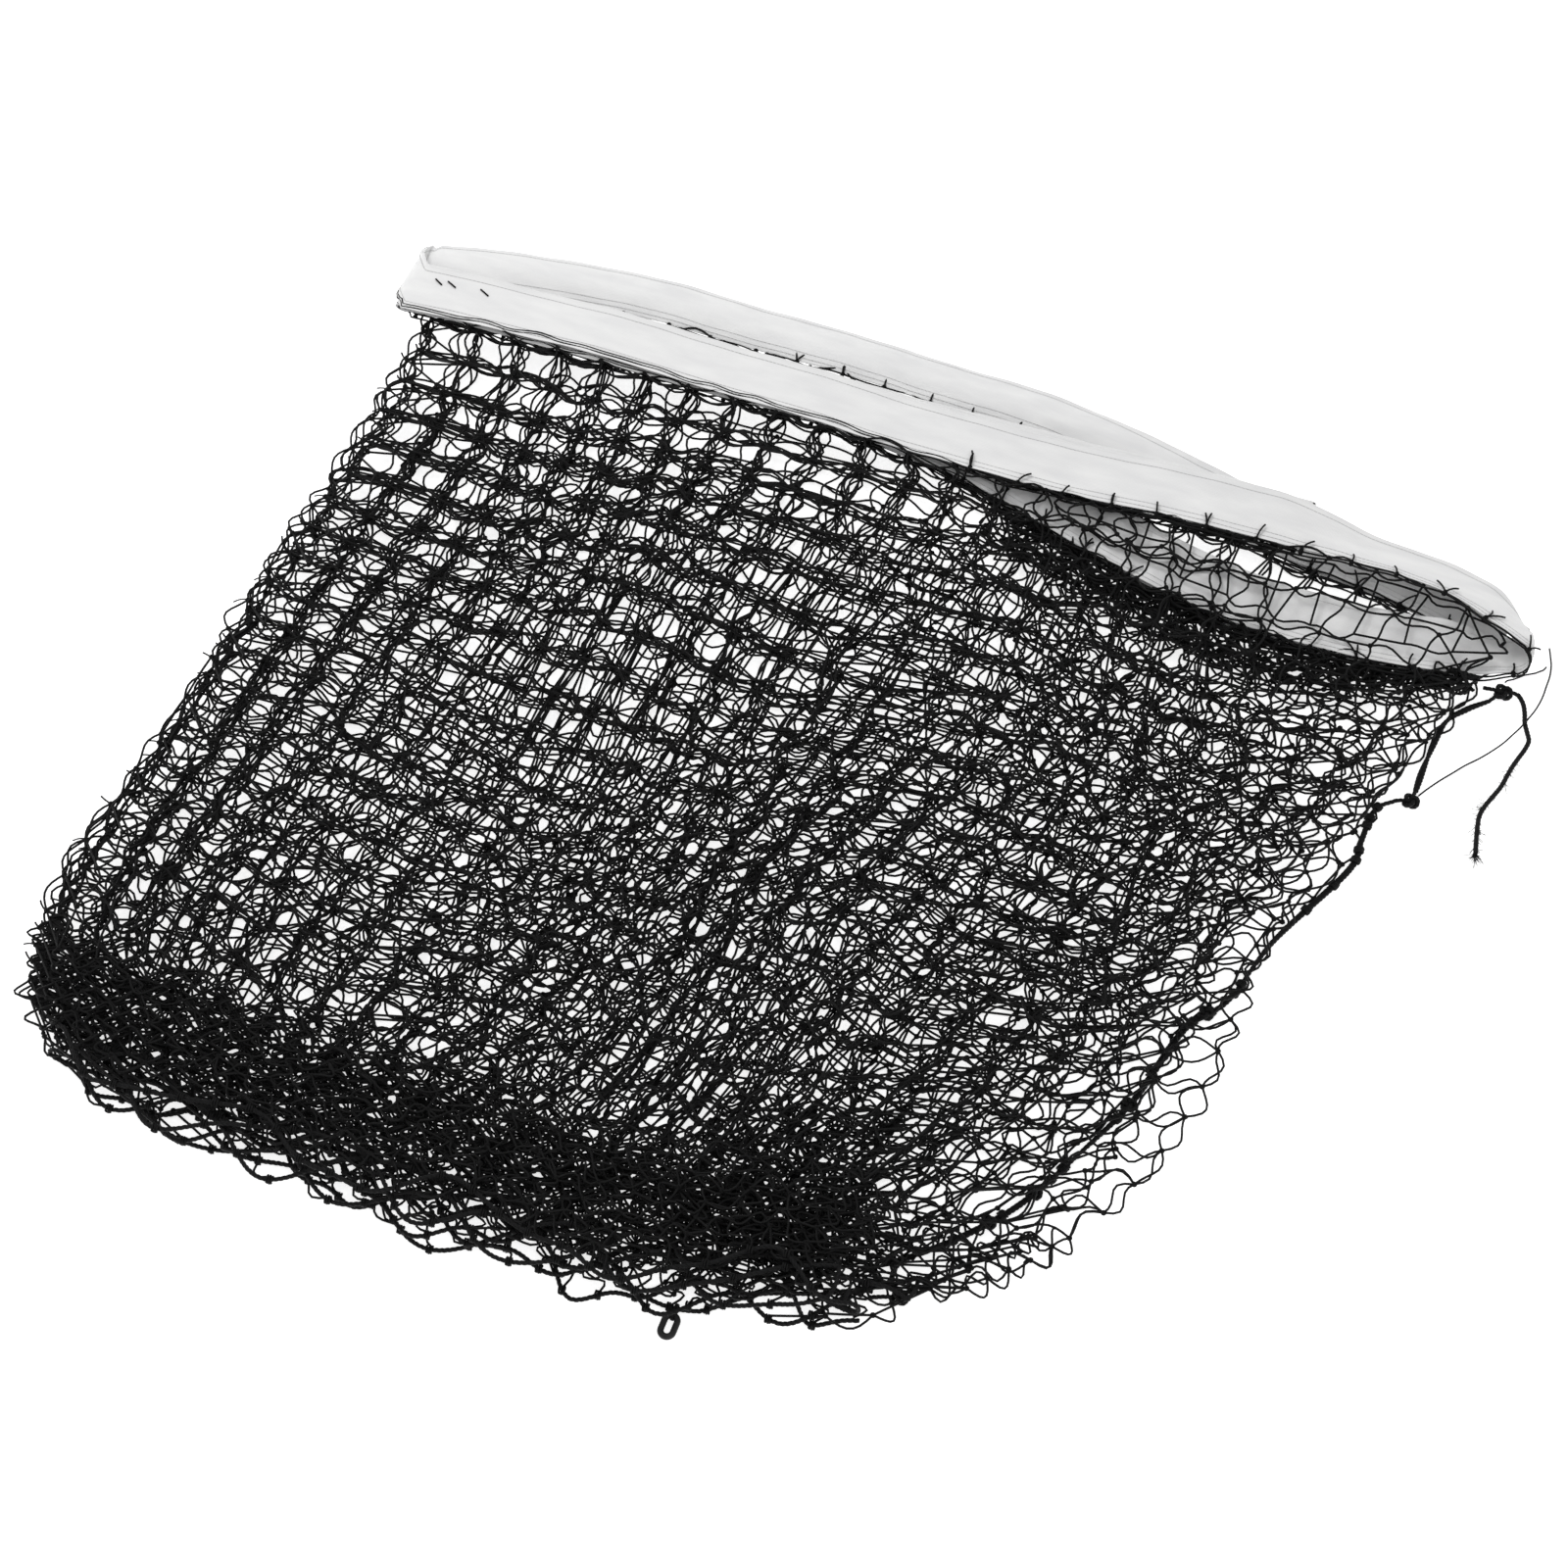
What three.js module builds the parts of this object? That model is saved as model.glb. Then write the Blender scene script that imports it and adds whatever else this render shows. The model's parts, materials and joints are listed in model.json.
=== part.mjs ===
// A tennis net folded for storage: a knotted twine net with a white headband, folded into eight
// layers that lie flat on each other. Millimetres, +X along the headband, +Y from the bottom rope
// towards the headband, +Z up. The origin is on the surface the net lies on, under its middle.
import * as THREE from 'three';

// ---- Driving dimensions -------------------------------------------------------------------
const LAYERS = 8;
const LAYER_PITCH = 5.4; // height that one folded layer takes up
const LAYER_CLEARANCE = 0.2; // air under and over each layer inside its pitch
const HEADBAND_WIDTH = 63.5;
const TAPE_THICKNESS = 1.4; // two plies of woven tape
const TUNNEL_RADIUS = 2.0; // sewn tunnel for the head cord
const TUNNEL_WALL = 0.5;
const HEAD_CORD_RADIUS = 1.5;
const LACING_RADIUS = 1.2;
const ROPE_RADIUS = 2.3; // braided bottom and side ropes
const THREAD_RADIUS = 0.85;
const TOUCH_GAP = 0.3;
const THIN_SIDES = 6; // facets round the cords that are thousands of diameters long

const LEFT_FOLD_X = -568; // centre of the nested folds of the headband
const HEADBAND_END_X = 588; // the two free ends of the headband
const ROPE_LEFT_FOLD_X = -498; // centre of the nested folds of the bottom rope
const ROPE_END_X = 266;

// The net's length runs through the layers in this order, from one free end to the other.
const FOLD_ORDER = [8, 1, 4, 5, 6, 3, 2, 7];
const OUTER_FOLD = { headX: 618, ropeX: 258 };
const INNER_FOLD = { headX: 372, ropeX: 236 };
const STRAY_FOLD = { headX: 560, ropeX: 300 };
const RIGHT_FOLDS = {
  1: OUTER_FOLD,
  2: INNER_FOLD,
  3: INNER_FOLD,
  4: OUTER_FOLD,
  5: STRAY_FOLD,
  6: STRAY_FOLD,
};

// Lower edge of the headband in each layer, as [x, y] points of a smooth line.
const HEAD_LINES = {
  1: [[-600, 385], [-366, 400], [52, 397], [237, 408], [430, 419], [530, 415], [618, 380]],
  2: [[-600, 392], [0, 405], [237, 415], [390, 420]],
  3: [[-600, 396], [0, 409], [237, 417], [390, 423]],
  4: [
    [-600, 398], [-300, 411], [-60, 407], [60, 389], [261, 332], [386, 318], [484, 322], [577, 342],
    [618, 358],
  ],
  5: [[-600, 402], [-300, 415], [-60, 410], [60, 390], [260, 333], [390, 319], [484, 323], [580, 342]],
  6: [[-600, 406], [-300, 419], [-60, 413], [60, 391], [260, 333], [390, 319], [484, 323], [580, 342]],
  7: [[-600, 410], [-300, 423], [0, 421], [260, 430], [380, 425], [480, 413], [600, 384]],
  8: [
    [-600, 451], [-430, 488], [-264, 497], [60, 492], [150, 482], [260, 450], [380, 425], [480, 413],
    [600, 384],
  ],
};

// Fold lines and free edges of the net, as [y, x] points of a smooth line.
const LEFT_EDGE = [
  [-560, -484], [-478, -484], [-425, -560], [-340, -580], [-120, -564], [120, -552], [400, -540],
];
const OUTER_EDGE = [
  [-560, 222], [-471, 236], [-422, 254], [-327, 311], [-219, 367], [-89, 420], [-10, 460], [190, 535],
  [400, 600],
];
const INNER_EDGE = [
  [-560, 215], [-471, 228], [-422, 246], [-327, 300], [-200, 352], [0, 395], [200, 390], [400, 356],
];
const STRAY_EDGE = [
  [-560, 280], [-470, 284], [-433, 340], [-389, 400], [-335, 430], [-265, 456], [-185, 471], [-74, 478],
  [60, 492], [200, 528], [340, 546],
];
const FREE_EDGE = [
  [-560, 240], [-455, 256], [-402, 300], [-350, 340], [-281, 374], [-214, 402], [-126, 422], [-82, 448],
  [-5, 470], [94, 510], [157, 516], [230, 544], [344, 580],
];
const RIGHT_EDGES = {
  1: OUTER_EDGE,
  2: INNER_EDGE,
  3: INNER_EDGE,
  4: OUTER_EDGE,
  5: STRAY_EDGE,
  6: STRAY_EDGE,
  7: FREE_EDGE,
  8: FREE_EDGE,
};
const EDGE_STEP = 70; // spacing of the outline points down a side edge
const TOP_STEPS = 9;
const BOTTOM_STEPS = 24;
const CORNER_RISE = 26; // a side edge stops this far above the bottom rope
const LEFT_FOLD_ROOM = 14; // clear of the bottom rope's folds
const RIGHT_FOLD_ROOM = 6;
const TOP_OF_EDGE = 330; // near where the right edges meet the headband
const NET_TO_LACING = 2 * LACING_RADIUS + 7;
const NET_TO_ROPE = ROPE_RADIUS + 4;

// Outermost line of the bottom rope, and the slack waves that it lies in.
const BOTTOM_LINE = [
  [-540, -512], [-440, -548], [-300, -562], [-60, -568], [112, -556], [200, -536], [310, -494],
];
const WAVE_LENGTH = 236;
const WAVE_HEIGHT = 21; // half of the height from trough to crest
const WAVE_PHASE_STEP = 2.1; // radians that each layer's wave is shifted by

// Oval ring lashed to the lowest turn of the bottom rope.
const RING_X = THREE.MathUtils.lerp(ROPE_LEFT_FOLD_X, ROPE_END_X, 0.8); // on a step of the rope's sweep
const RING_BEND_RADIUS = 5.7;
const RING_STRAIGHT = 9;
const RING_STOCK_RADIUS = 3.0;
const LASHING_BORE = 4.0;
const LASHING_WALL = 0.8;
const LASHING_WIDTH = 4.0;
const LASHING_SPAN = 7; // from the rope's centre to the ring's centre
const LASHED_HEIGHT = LASHING_BORE + LASHING_WALL + TOUCH_GAP;
const LASHING_HUMP = 30; // half of the length over which the rope rises to the lashing

// ---- Materials ----------------------------------------------------------------------------
const material = (color, roughness) => new THREE.MeshStandardMaterial({ color, roughness, metalness: 0 });
const twine = material(0x141414, 0.6);
const rope = material(0x191919, 0.7);
const tape = material(0xe9e9e7, 0.55);
const plastic = material(0x101010, 0.4);

// ---- Curves and folded routes -------------------------------------------------------------
// A smooth function through [position, value] points, flat beyond the two ends.
function smoothLine(points) {
  const last = points.length - 1;
  const slopeAt = (i) => {
    const before = points[Math.max(i - 1, 0)];
    const after = points[Math.min(i + 1, last)];
    return (after[1] - before[1]) / (after[0] - before[0]);
  };
  return (position) => {
    const at = THREE.MathUtils.clamp(position, points[0][0], points[last][0]);
    let i = 0;
    while (i < last - 1 && at > points[i + 1][0]) {
      i += 1;
    }
    const span = points[i + 1][0] - points[i][0];
    const t = (at - points[i][0]) / span;
    const start = (1 + 2 * t) * (1 - t) ** 2 * points[i][1] + t * (1 - t) ** 2 * span * slopeAt(i);
    const end = t * t * (3 - 2 * t) * points[i + 1][1] + t * t * (t - 1) * span * slopeAt(i + 1);
    return start + end;
  };
}

const layerBase = (layer) => (LAYERS - layer) * LAYER_PITCH;
const layerMiddle = (layer) => layerBase(layer) + LAYER_PITCH / 2;
const headLines = Object.fromEntries(Object.entries(HEAD_LINES).map(([k, line]) => [k, smoothLine(line)]));
const bottomLine = smoothLine(BOTTOM_LINE);

// The bottom rope's lowest turn has its outermost wave at the ring.
function bottomRopeY(layer, x) {
  const phase = (2 * Math.PI * (x - RING_X)) / WAVE_LENGTH + (LAYERS - layer) * WAVE_PHASE_STEP;
  return bottomLine(x) + WAVE_HEIGHT * (1 - Math.cos(phase));
}

function bottomRopeZ(layer, x) {
  const middle = layerMiddle(layer);
  const away = Math.abs(x - RING_X) / LASHING_HUMP;
  const rises = layer === LAYERS && away < 1;
  return rises ? middle + (LASHED_HEIGHT - middle) * Math.cos((away * Math.PI) / 2) ** 2 : middle;
}

// The centre line of a band or rope that goes back and forth through the layers.
function foldedRoute({ yAt, zAt, leftX, endX, rightX, stretchSteps, foldSteps }) {
  const points = [];
  const turn = (fromLayer, toLayer, foldX, side) => {
    const from = zAt(fromLayer, foldX);
    const to = zAt(toLayer, foldX);
    for (let i = 1; i < foldSteps; i += 1) {
      const angle = (i / foldSteps) * Math.PI;
      const y = THREE.MathUtils.lerp(yAt(fromLayer, foldX), yAt(toLayer, foldX), i / foldSteps);
      const x = foldX + side * Math.abs(to - from) / 2 * Math.sin(angle);
      points.push(new THREE.Vector3(x, y, (from + to) / 2 + ((from - to) / 2) * Math.cos(angle)));
    }
  };
  FOLD_ORDER.forEach((layer, i) => {
    const right = layer >= LAYERS - 1 ? endX : rightX(layer);
    const [from, to] = i % 2 === 0 ? [right, leftX] : [leftX, right];
    for (let s = 0; s <= stretchSteps; s += 1) {
      const x = THREE.MathUtils.lerp(from, to, s / stretchSteps);
      points.push(new THREE.Vector3(x, yAt(layer, x), zAt(layer, x)));
    }
    if (i < FOLD_ORDER.length - 1) {
      turn(layer, FOLD_ORDER[i + 1], to, i % 2 === 0 ? -1 : 1);
    }
  });
  return points;
}

// A path with its own points and frames that don't twist. The section's first axis stays square to
// the side direction; a band's second axis is the side direction itself.
class RoutedPath extends THREE.Curve {
  constructor(points, side, isBand = false) {
    super();
    this.points = points;
    this.side = side;
    this.isBand = isBand;
  }

  getSpacedPoints() {
    return this.points;
  }

  computeFrenetFrames() {
    const last = this.points.length - 1;
    const frames = { tangents: [], normals: [], binormals: [] };
    this.points.forEach((point, i) => {
      const before = this.points[Math.max(i - 1, 0)];
      const after = this.points[Math.min(i + 1, last)];
      const tangent = after.clone().sub(before).normalize();
      const normal = this.side.clone().cross(tangent).normalize();
      frames.tangents.push(tangent);
      frames.normals.push(normal);
      frames.binormals.push(this.isBand ? this.side : tangent.clone().cross(normal));
    });
    return frames;
  }
}

const ACROSS = new THREE.Vector3(0, 1, 0);
const UPWARD = new THREE.Vector3(0, 0, 1);

function roundSection(radius, sides) {
  const corners = Array.from({ length: sides }, (_, i) => {
    const angle = (2 * Math.PI * i) / sides;
    return new THREE.Vector2(radius * Math.cos(angle), radius * Math.sin(angle));
  });
  return new THREE.Shape(corners);
}

function sweep(section, path) {
  return new THREE.ExtrudeGeometry(section, { steps: path.points.length - 1, extrudePath: path });
}

// A rope that lies across the ground: a smooth curve through chosen points, cut into even steps.
function laidRope(route, radius, steps, sides = 8) {
  const curve = new THREE.CatmullRomCurve3(route.map((p) => new THREE.Vector3(...p)), false, 'centripetal');
  return sweep(roundSection(radius, sides), new RoutedPath(curve.getSpacedPoints(steps), UPWARD));
}

const net = new THREE.Group();

function add(name, geometry, finish, position = [0, 0, 0]) {
  const mesh = new THREE.Mesh(geometry, finish);
  mesh.name = name;
  mesh.position.set(...position);
  net.add(mesh);
  return mesh;
}

// ---- Headband, head cord and lacing ---------------------------------------------------------
const headRoute = (offsetY) => foldedRoute({
  yAt: (layer, x) => headLines[layer](x) + offsetY,
  zAt: layerMiddle,
  leftX: LEFT_FOLD_X,
  endX: HEADBAND_END_X,
  rightX: (layer) => RIGHT_FOLDS[layer].headX,
  stretchSteps: 7,
  foldSteps: 4,
});

// Section of the tape: flat plies from the lower edge, opening into the tunnel at the fold.
function headbandSection() {
  const half = TAPE_THICKNESS / 2;
  const outer = TUNNEL_RADIUS + TUNNEL_WALL;
  const centre = HEADBAND_WIDTH - outer;
  const section = new THREE.Shape();
  const throat = Math.acos(half / outer);
  section.moveTo(half, 0);
  section.lineTo(half, centre - outer * Math.sin(throat));
  section.absarc(0, centre, outer, -throat, Math.PI + throat, false);
  section.lineTo(-half, 0);
  const tunnel = new THREE.Path();
  tunnel.absarc(0, centre, TUNNEL_RADIUS, 0, 2 * Math.PI, true);
  section.holes.push(tunnel);
  return section;
}

const TUNNEL_Y = HEADBAND_WIDTH - TUNNEL_RADIUS - TUNNEL_WALL;
const bandPath = new RoutedPath(headRoute(0), ACROSS, true);
const bandGeometry = new THREE.ExtrudeGeometry(headbandSection(), {
  steps: bandPath.points.length - 1,
  curveSegments: 4,
  extrudePath: bandPath,
});
add('headband', bandGeometry, tape);
const headCordPath = new RoutedPath(headRoute(TUNNEL_Y), ACROSS, true);
add('head_cord', sweep(roundSection(HEAD_CORD_RADIUS, THIN_SIDES), headCordPath), rope);
const lacingPath = new RoutedPath(headRoute(-LACING_RADIUS - TOUCH_GAP), ACROSS, true);
add('lacing_cord', sweep(roundSection(LACING_RADIUS, THIN_SIDES), lacingPath), twine);

// ---- Net layers -----------------------------------------------------------------------------
function layerOutline(layer) {
  const leftEdge = smoothLine(LEFT_EDGE);
  const rightEdge = smoothLine(RIGHT_EDGES[layer]);
  const headY = (x) => headLines[layer](x) - NET_TO_LACING;
  const ropeY = (x) => bottomRopeY(layer, x) + NET_TO_ROPE;
  const outline = [];
  const along = (fromX, toX, steps, yAt) => {
    for (let i = 0; i <= steps; i += 1) {
      const x = THREE.MathUtils.lerp(fromX, toX, i / steps);
      outline.push(new THREE.Vector2(x, yAt(x)));
    }
  };
  const side = (edge, fromY, toY) => {
    const steps = Math.round(Math.abs(toY - fromY) / EDGE_STEP);
    for (let i = 1; i < steps; i += 1) {
      const y = THREE.MathUtils.lerp(fromY, toY, i / steps);
      outline.push(new THREE.Vector2(edge(y), y));
    }
  };
  const topLeft = leftEdge(headY(LEFT_FOLD_X));
  const topRight = rightEdge(headY(rightEdge(TOP_OF_EDGE)));
  const bottomLeft = ROPE_LEFT_FOLD_X + LEFT_FOLD_ROOM;
  const ropeEnd = layer >= LAYERS - 1 ? ROPE_END_X : RIGHT_FOLDS[layer].ropeX;
  const bottomRight = Math.min(ropeEnd, rightEdge(ropeY(ropeEnd))) - RIGHT_FOLD_ROOM;
  const leftCorner = ropeY(bottomLeft) + CORNER_RISE;
  const rightCorner = ropeY(bottomRight) + CORNER_RISE;
  along(topRight, topLeft, TOP_STEPS, headY);
  side(leftEdge, headY(topLeft), leftCorner);
  outline.push(new THREE.Vector2(leftEdge(leftCorner), leftCorner));
  along(bottomLeft, bottomRight, BOTTOM_STEPS, ropeY);
  outline.push(new THREE.Vector2(rightEdge(rightCorner), rightCorner));
  side(rightEdge, rightCorner, headY(topRight));
  return new THREE.Shape(outline);
}

for (let layer = 1; layer <= LAYERS; layer += 1) {
  const bottom = layer === LAYERS ? 0 : layerBase(layer) + LAYER_CLEARANCE;
  const top = layerBase(layer) + LAYER_PITCH - LAYER_CLEARANCE;
  const slab = new THREE.ExtrudeGeometry(layerOutline(layer), { depth: top - bottom, bevelEnabled: false });
  add(`net_layer_${layer}`, slab, twine, [0, 0, bottom]);
}

// ---- Bottom rope and side ropes ---------------------------------------------------------------
const bottomRoute = foldedRoute({
  yAt: bottomRopeY,
  zAt: bottomRopeZ,
  leftX: ROPE_LEFT_FOLD_X,
  endX: ROPE_END_X,
  rightX: (layer) => RIGHT_FOLDS[layer].ropeX,
  stretchSteps: 25,
  foldSteps: 5,
});
add('bottom_rope', sweep(roundSection(ROPE_RADIUS, THIN_SIDES), new RoutedPath(bottomRoute, ACROSS)), rope);

const SIDE_ROPE_A = [[599, 332], [581, 314], [566, 290], [562, 240], [562, 204]];
const SIDE_ROPE_B = [
  [548, 188], [532, 170], [530, 130], [528, 94], [486, -5], [466, -82], [438, -126], [418, -214], [391, -281],
  [358, -350], [318, -402], [280, -440], [277, -460],
];
const KNOT_RADIUS = 6.4;
const KNOT_STRAND = 2.2;
const KNOT_FLATNESS = 0.62; // a tight knot lies flatter than it is wide
const knot = () => new THREE.TorusKnotGeometry(KNOT_RADIUS, KNOT_STRAND, 32, THIN_SIDES, 2, 3)
  .scale(1, 1, KNOT_FLATNESS);
const lowZ = layerMiddle(LAYERS);
const onLayer = (route, z) => route.map(([x, y]) => [x, y, z]);
add('side_rope_a', laidRope(onLayer(SIDE_ROPE_A, lowZ), ROPE_RADIUS, 14, THIN_SIDES), rope);
add('side_rope_b', laidRope(onLayer(SIDE_ROPE_B, lowZ), ROPE_RADIUS, 44, THIN_SIDES), rope);
const KNOT_HEIGHT = (KNOT_RADIUS + KNOT_STRAND) * KNOT_FLATNESS;
add('top_corner_knot', knot(), rope, [608, 345, KNOT_HEIGHT]);
add('side_knot', knot(), rope, [560, 190, KNOT_HEIGHT]);
add('bottom_corner_knot', knot(), rope, [289, -476, KNOT_HEIGHT]);

// ---- Ring lashed to the bottom rope ------------------------------------------------------------
// A torus pulled apart along Y gives an oval ring with straight sides.
function ovalRing() {
  const ring = new THREE.TorusGeometry(RING_BEND_RADIUS, RING_STOCK_RADIUS, 8, 24);
  const place = ring.attributes.position;
  for (let i = 0; i < place.count; i += 1) {
    const y = place.getY(i);
    const half = y >= -1e-6 ? RING_STRAIGHT / 2 : -RING_STRAIGHT / 2;
    place.setY(i, y + half - RING_STRAIGHT / 2 - RING_BEND_RADIUS);
  }
  return ring;
}

const ropeAtRing = bottomRopeY(LAYERS, RING_X);
const pivot = [RING_X, ropeAtRing - LASHING_SPAN, LASHED_HEIGHT];
const ring = add('bottom_ring', ovalRing(), plastic, pivot);
const ringReach = RING_STRAIGHT + 2 * RING_BEND_RADIUS;
ring.rotation.x = Math.asin((LASHED_HEIGHT - RING_STOCK_RADIUS - TOUCH_GAP) / ringReach);

function lashingGeometry() {
  const outer = LASHING_BORE + LASHING_WALL;
  const band = (radius, outline) => {
    outline.absarc(0, 0, radius, Math.PI / 2, (3 * Math.PI) / 2, false);
    outline.absarc(LASHING_SPAN, 0, radius, -Math.PI / 2, Math.PI / 2, false);
    return outline;
  };
  const section = band(outer, new THREE.Shape());
  section.holes.push(band(LASHING_BORE, new THREE.Path()));
  const settings = { depth: LASHING_WIDTH, bevelEnabled: false, curveSegments: 6 };
  const body = new THREE.ExtrudeGeometry(section, settings);
  body.translate(0, 0, -LASHING_WIDTH / 2);
  body.rotateY(Math.PI / 2);
  body.rotateX(Math.PI / 2);
  return body;
}
add('ring_lashing', lashingGeometry(), twine, pivot);

// ---- Loose cords at the top corner ---------------------------------------------------------------
const TAIL_ROUTE = [
  [622, 348, 5], [626, 346, 3.6], [631, 340, 2.6], [635, 330, 2.6], [638, 319, 2.6], [643, 309, 2.6],
  [647, 300, 2.6], [646, 289, 2.6], [643, 277, 2.6], [640, 264, 2.6], [638, 251, 2.6], [636, 238, 2.6],
  [632, 225, 2.6], [628, 212, 2.6], [626, 199, 2.6], [628, 184, 2.6], [631, 169, 2.6], [634, 156, 2.6],
];
const LONG_THREAD_ROUTE = [
  [566, 201, 2], [572, 213, 1], [580, 226, 1], [589, 239, 1], [598, 252, 1], [608, 264, 1.2],
  [617, 276, 2.2], [625, 288, 3.8], [631, 300, 5.2], [636, 311, 6.0], [640, 323, 6.1], [643, 334, 4.8],
  [645, 346, 2.8], [646, 358, 1.4], [646, 370, 1], [646, 383, 1], [644, 396, 1], [640, 408, 1],
  [637, 416, 1],
];
const SHORT_THREAD_ROUTE = [
  [608, 357, 6], [609, 361, 4], [611, 364, 2.2], [614, 367, 1.1], [617, 370, 1], [620, 373, 1],
  [623, 376, 1], [626, 378, 1], [629, 380, 1], [632, 382, 1], [634, 384, 1], [636, 386, 1],
  [638, 388, 1], [639, 390, 1], [640, 393, 1],
];
add('tail_rope', laidRope(TAIL_ROUTE, ROPE_RADIUS, 22), rope);
add('loose_thread_long', laidRope(LONG_THREAD_ROUTE, THREAD_RADIUS, 56), twine);
add('loose_thread_short', laidRope(SHORT_THREAD_ROUTE, THREAD_RADIUS, 18), twine);

export default net;
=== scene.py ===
"""A tennis net folded for storage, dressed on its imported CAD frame. Metres, +X along the headband,
+Y from the bottom rope towards the headband, +Z up."""
import json
import math

import bpy
import numpy as np
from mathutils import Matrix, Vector

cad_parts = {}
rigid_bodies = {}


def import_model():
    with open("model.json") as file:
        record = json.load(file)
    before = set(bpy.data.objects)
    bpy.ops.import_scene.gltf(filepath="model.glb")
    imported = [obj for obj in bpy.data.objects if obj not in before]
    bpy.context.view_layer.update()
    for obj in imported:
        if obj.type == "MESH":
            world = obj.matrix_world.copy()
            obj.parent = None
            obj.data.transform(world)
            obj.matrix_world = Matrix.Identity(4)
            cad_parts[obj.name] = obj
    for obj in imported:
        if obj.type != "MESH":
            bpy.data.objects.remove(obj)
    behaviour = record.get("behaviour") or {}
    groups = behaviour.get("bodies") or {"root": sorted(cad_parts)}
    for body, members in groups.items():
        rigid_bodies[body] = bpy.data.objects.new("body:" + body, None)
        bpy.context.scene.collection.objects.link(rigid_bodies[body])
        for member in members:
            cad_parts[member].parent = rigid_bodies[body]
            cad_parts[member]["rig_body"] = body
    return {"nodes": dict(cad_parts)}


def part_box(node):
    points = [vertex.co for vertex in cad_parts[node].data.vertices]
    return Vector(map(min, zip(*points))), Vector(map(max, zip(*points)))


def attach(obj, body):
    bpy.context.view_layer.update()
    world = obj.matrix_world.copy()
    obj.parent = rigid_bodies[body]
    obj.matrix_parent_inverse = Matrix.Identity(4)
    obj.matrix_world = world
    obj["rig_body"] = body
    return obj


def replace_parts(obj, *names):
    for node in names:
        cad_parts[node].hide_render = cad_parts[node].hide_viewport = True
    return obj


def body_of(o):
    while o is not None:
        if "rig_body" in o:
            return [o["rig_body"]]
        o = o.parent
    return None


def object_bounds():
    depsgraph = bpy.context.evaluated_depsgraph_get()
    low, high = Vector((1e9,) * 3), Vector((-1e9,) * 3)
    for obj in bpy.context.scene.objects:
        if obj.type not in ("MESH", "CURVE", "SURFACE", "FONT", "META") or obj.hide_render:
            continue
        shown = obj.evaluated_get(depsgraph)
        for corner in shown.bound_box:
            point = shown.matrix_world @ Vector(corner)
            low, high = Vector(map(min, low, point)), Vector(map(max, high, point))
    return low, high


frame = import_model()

cad_low, cad_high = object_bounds()

# ---- Driving dimensions, the same as the CAD's ----
LAYERS = 8
LAYER_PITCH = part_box("net_layer_1")[1].z / LAYERS
MESH_SIDE = 0.0475  # one side of a mesh, with its slack
TWINE_RADIUS = 0.0012
LACING_RADIUS = 0.0010
TIE_RADIUS = 0.0011  # of the twine that is wound round the ropes
THREAD_RADIUS = 0.00085
ROPE_RADIUS = 0.0023
ROPE_PITCH = 0.013
TAPE_WIDTH = 0.0635
TAPE_PLY = 0.0005  # from the middle of the band to each ply's face
TUNNEL_RADIUS = 0.0022
HEADBAND_LEFT = -0.568
HEADBAND_END = 0.588
ROPE_LEFT = -0.498
ROPE_END = 0.266
FOLD_ORDER = [8, 1, 4, 5, 6, 3, 2, 7]
HEAD_RIGHT = {1: 0.618, 4: 0.618, 2: 0.372, 3: 0.372, 5: 0.560, 6: 0.560, 7: HEADBAND_END, 8: HEADBAND_END}
ROPE_RIGHT = {1: 0.258, 4: 0.258, 2: 0.236, 3: 0.236, 5: 0.300, 6: 0.300, 7: ROPE_END, 8: ROPE_END}

# Lower edge of the headband in each layer, as (x, y) points of a smooth line. Two pairs of strips
# lie along one line at the right.
INNER_STRIPS = [(0.260, 0.333), (0.390, 0.319), (0.484, 0.323), (0.580, 0.342)]
REAR_STRIPS = [(0.380, 0.425), (0.480, 0.413), (0.600, 0.384)]
HEAD_LINES = {
    1: [(-0.600, 0.385), (-0.366, 0.400), (0.052, 0.397), (0.237, 0.408), (0.430, 0.419), (0.530, 0.415),
        (0.618, 0.380)],
    2: [(-0.600, 0.392), (0.000, 0.405), (0.237, 0.415), (0.390, 0.420)],
    3: [(-0.600, 0.396), (0.000, 0.409), (0.237, 0.417), (0.390, 0.423)],
    4: [(-0.600, 0.398), (-0.300, 0.411), (-0.060, 0.407), (0.060, 0.389), (0.261, 0.332), (0.386, 0.318),
        (0.484, 0.322), (0.577, 0.342), (0.618, 0.358)],
    5: [(-0.600, 0.402), (-0.300, 0.415), (-0.060, 0.410), (0.060, 0.390)] + INNER_STRIPS,
    6: [(-0.600, 0.406), (-0.300, 0.419), (-0.060, 0.413), (0.060, 0.391)] + INNER_STRIPS,
    7: [(-0.600, 0.410), (-0.300, 0.423), (0.000, 0.421), (0.260, 0.430)] + REAR_STRIPS,
    8: [(-0.600, 0.451), (-0.430, 0.488), (-0.264, 0.497), (0.060, 0.492), (0.150, 0.482),
        (0.260, 0.450)] + REAR_STRIPS,
}
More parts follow.
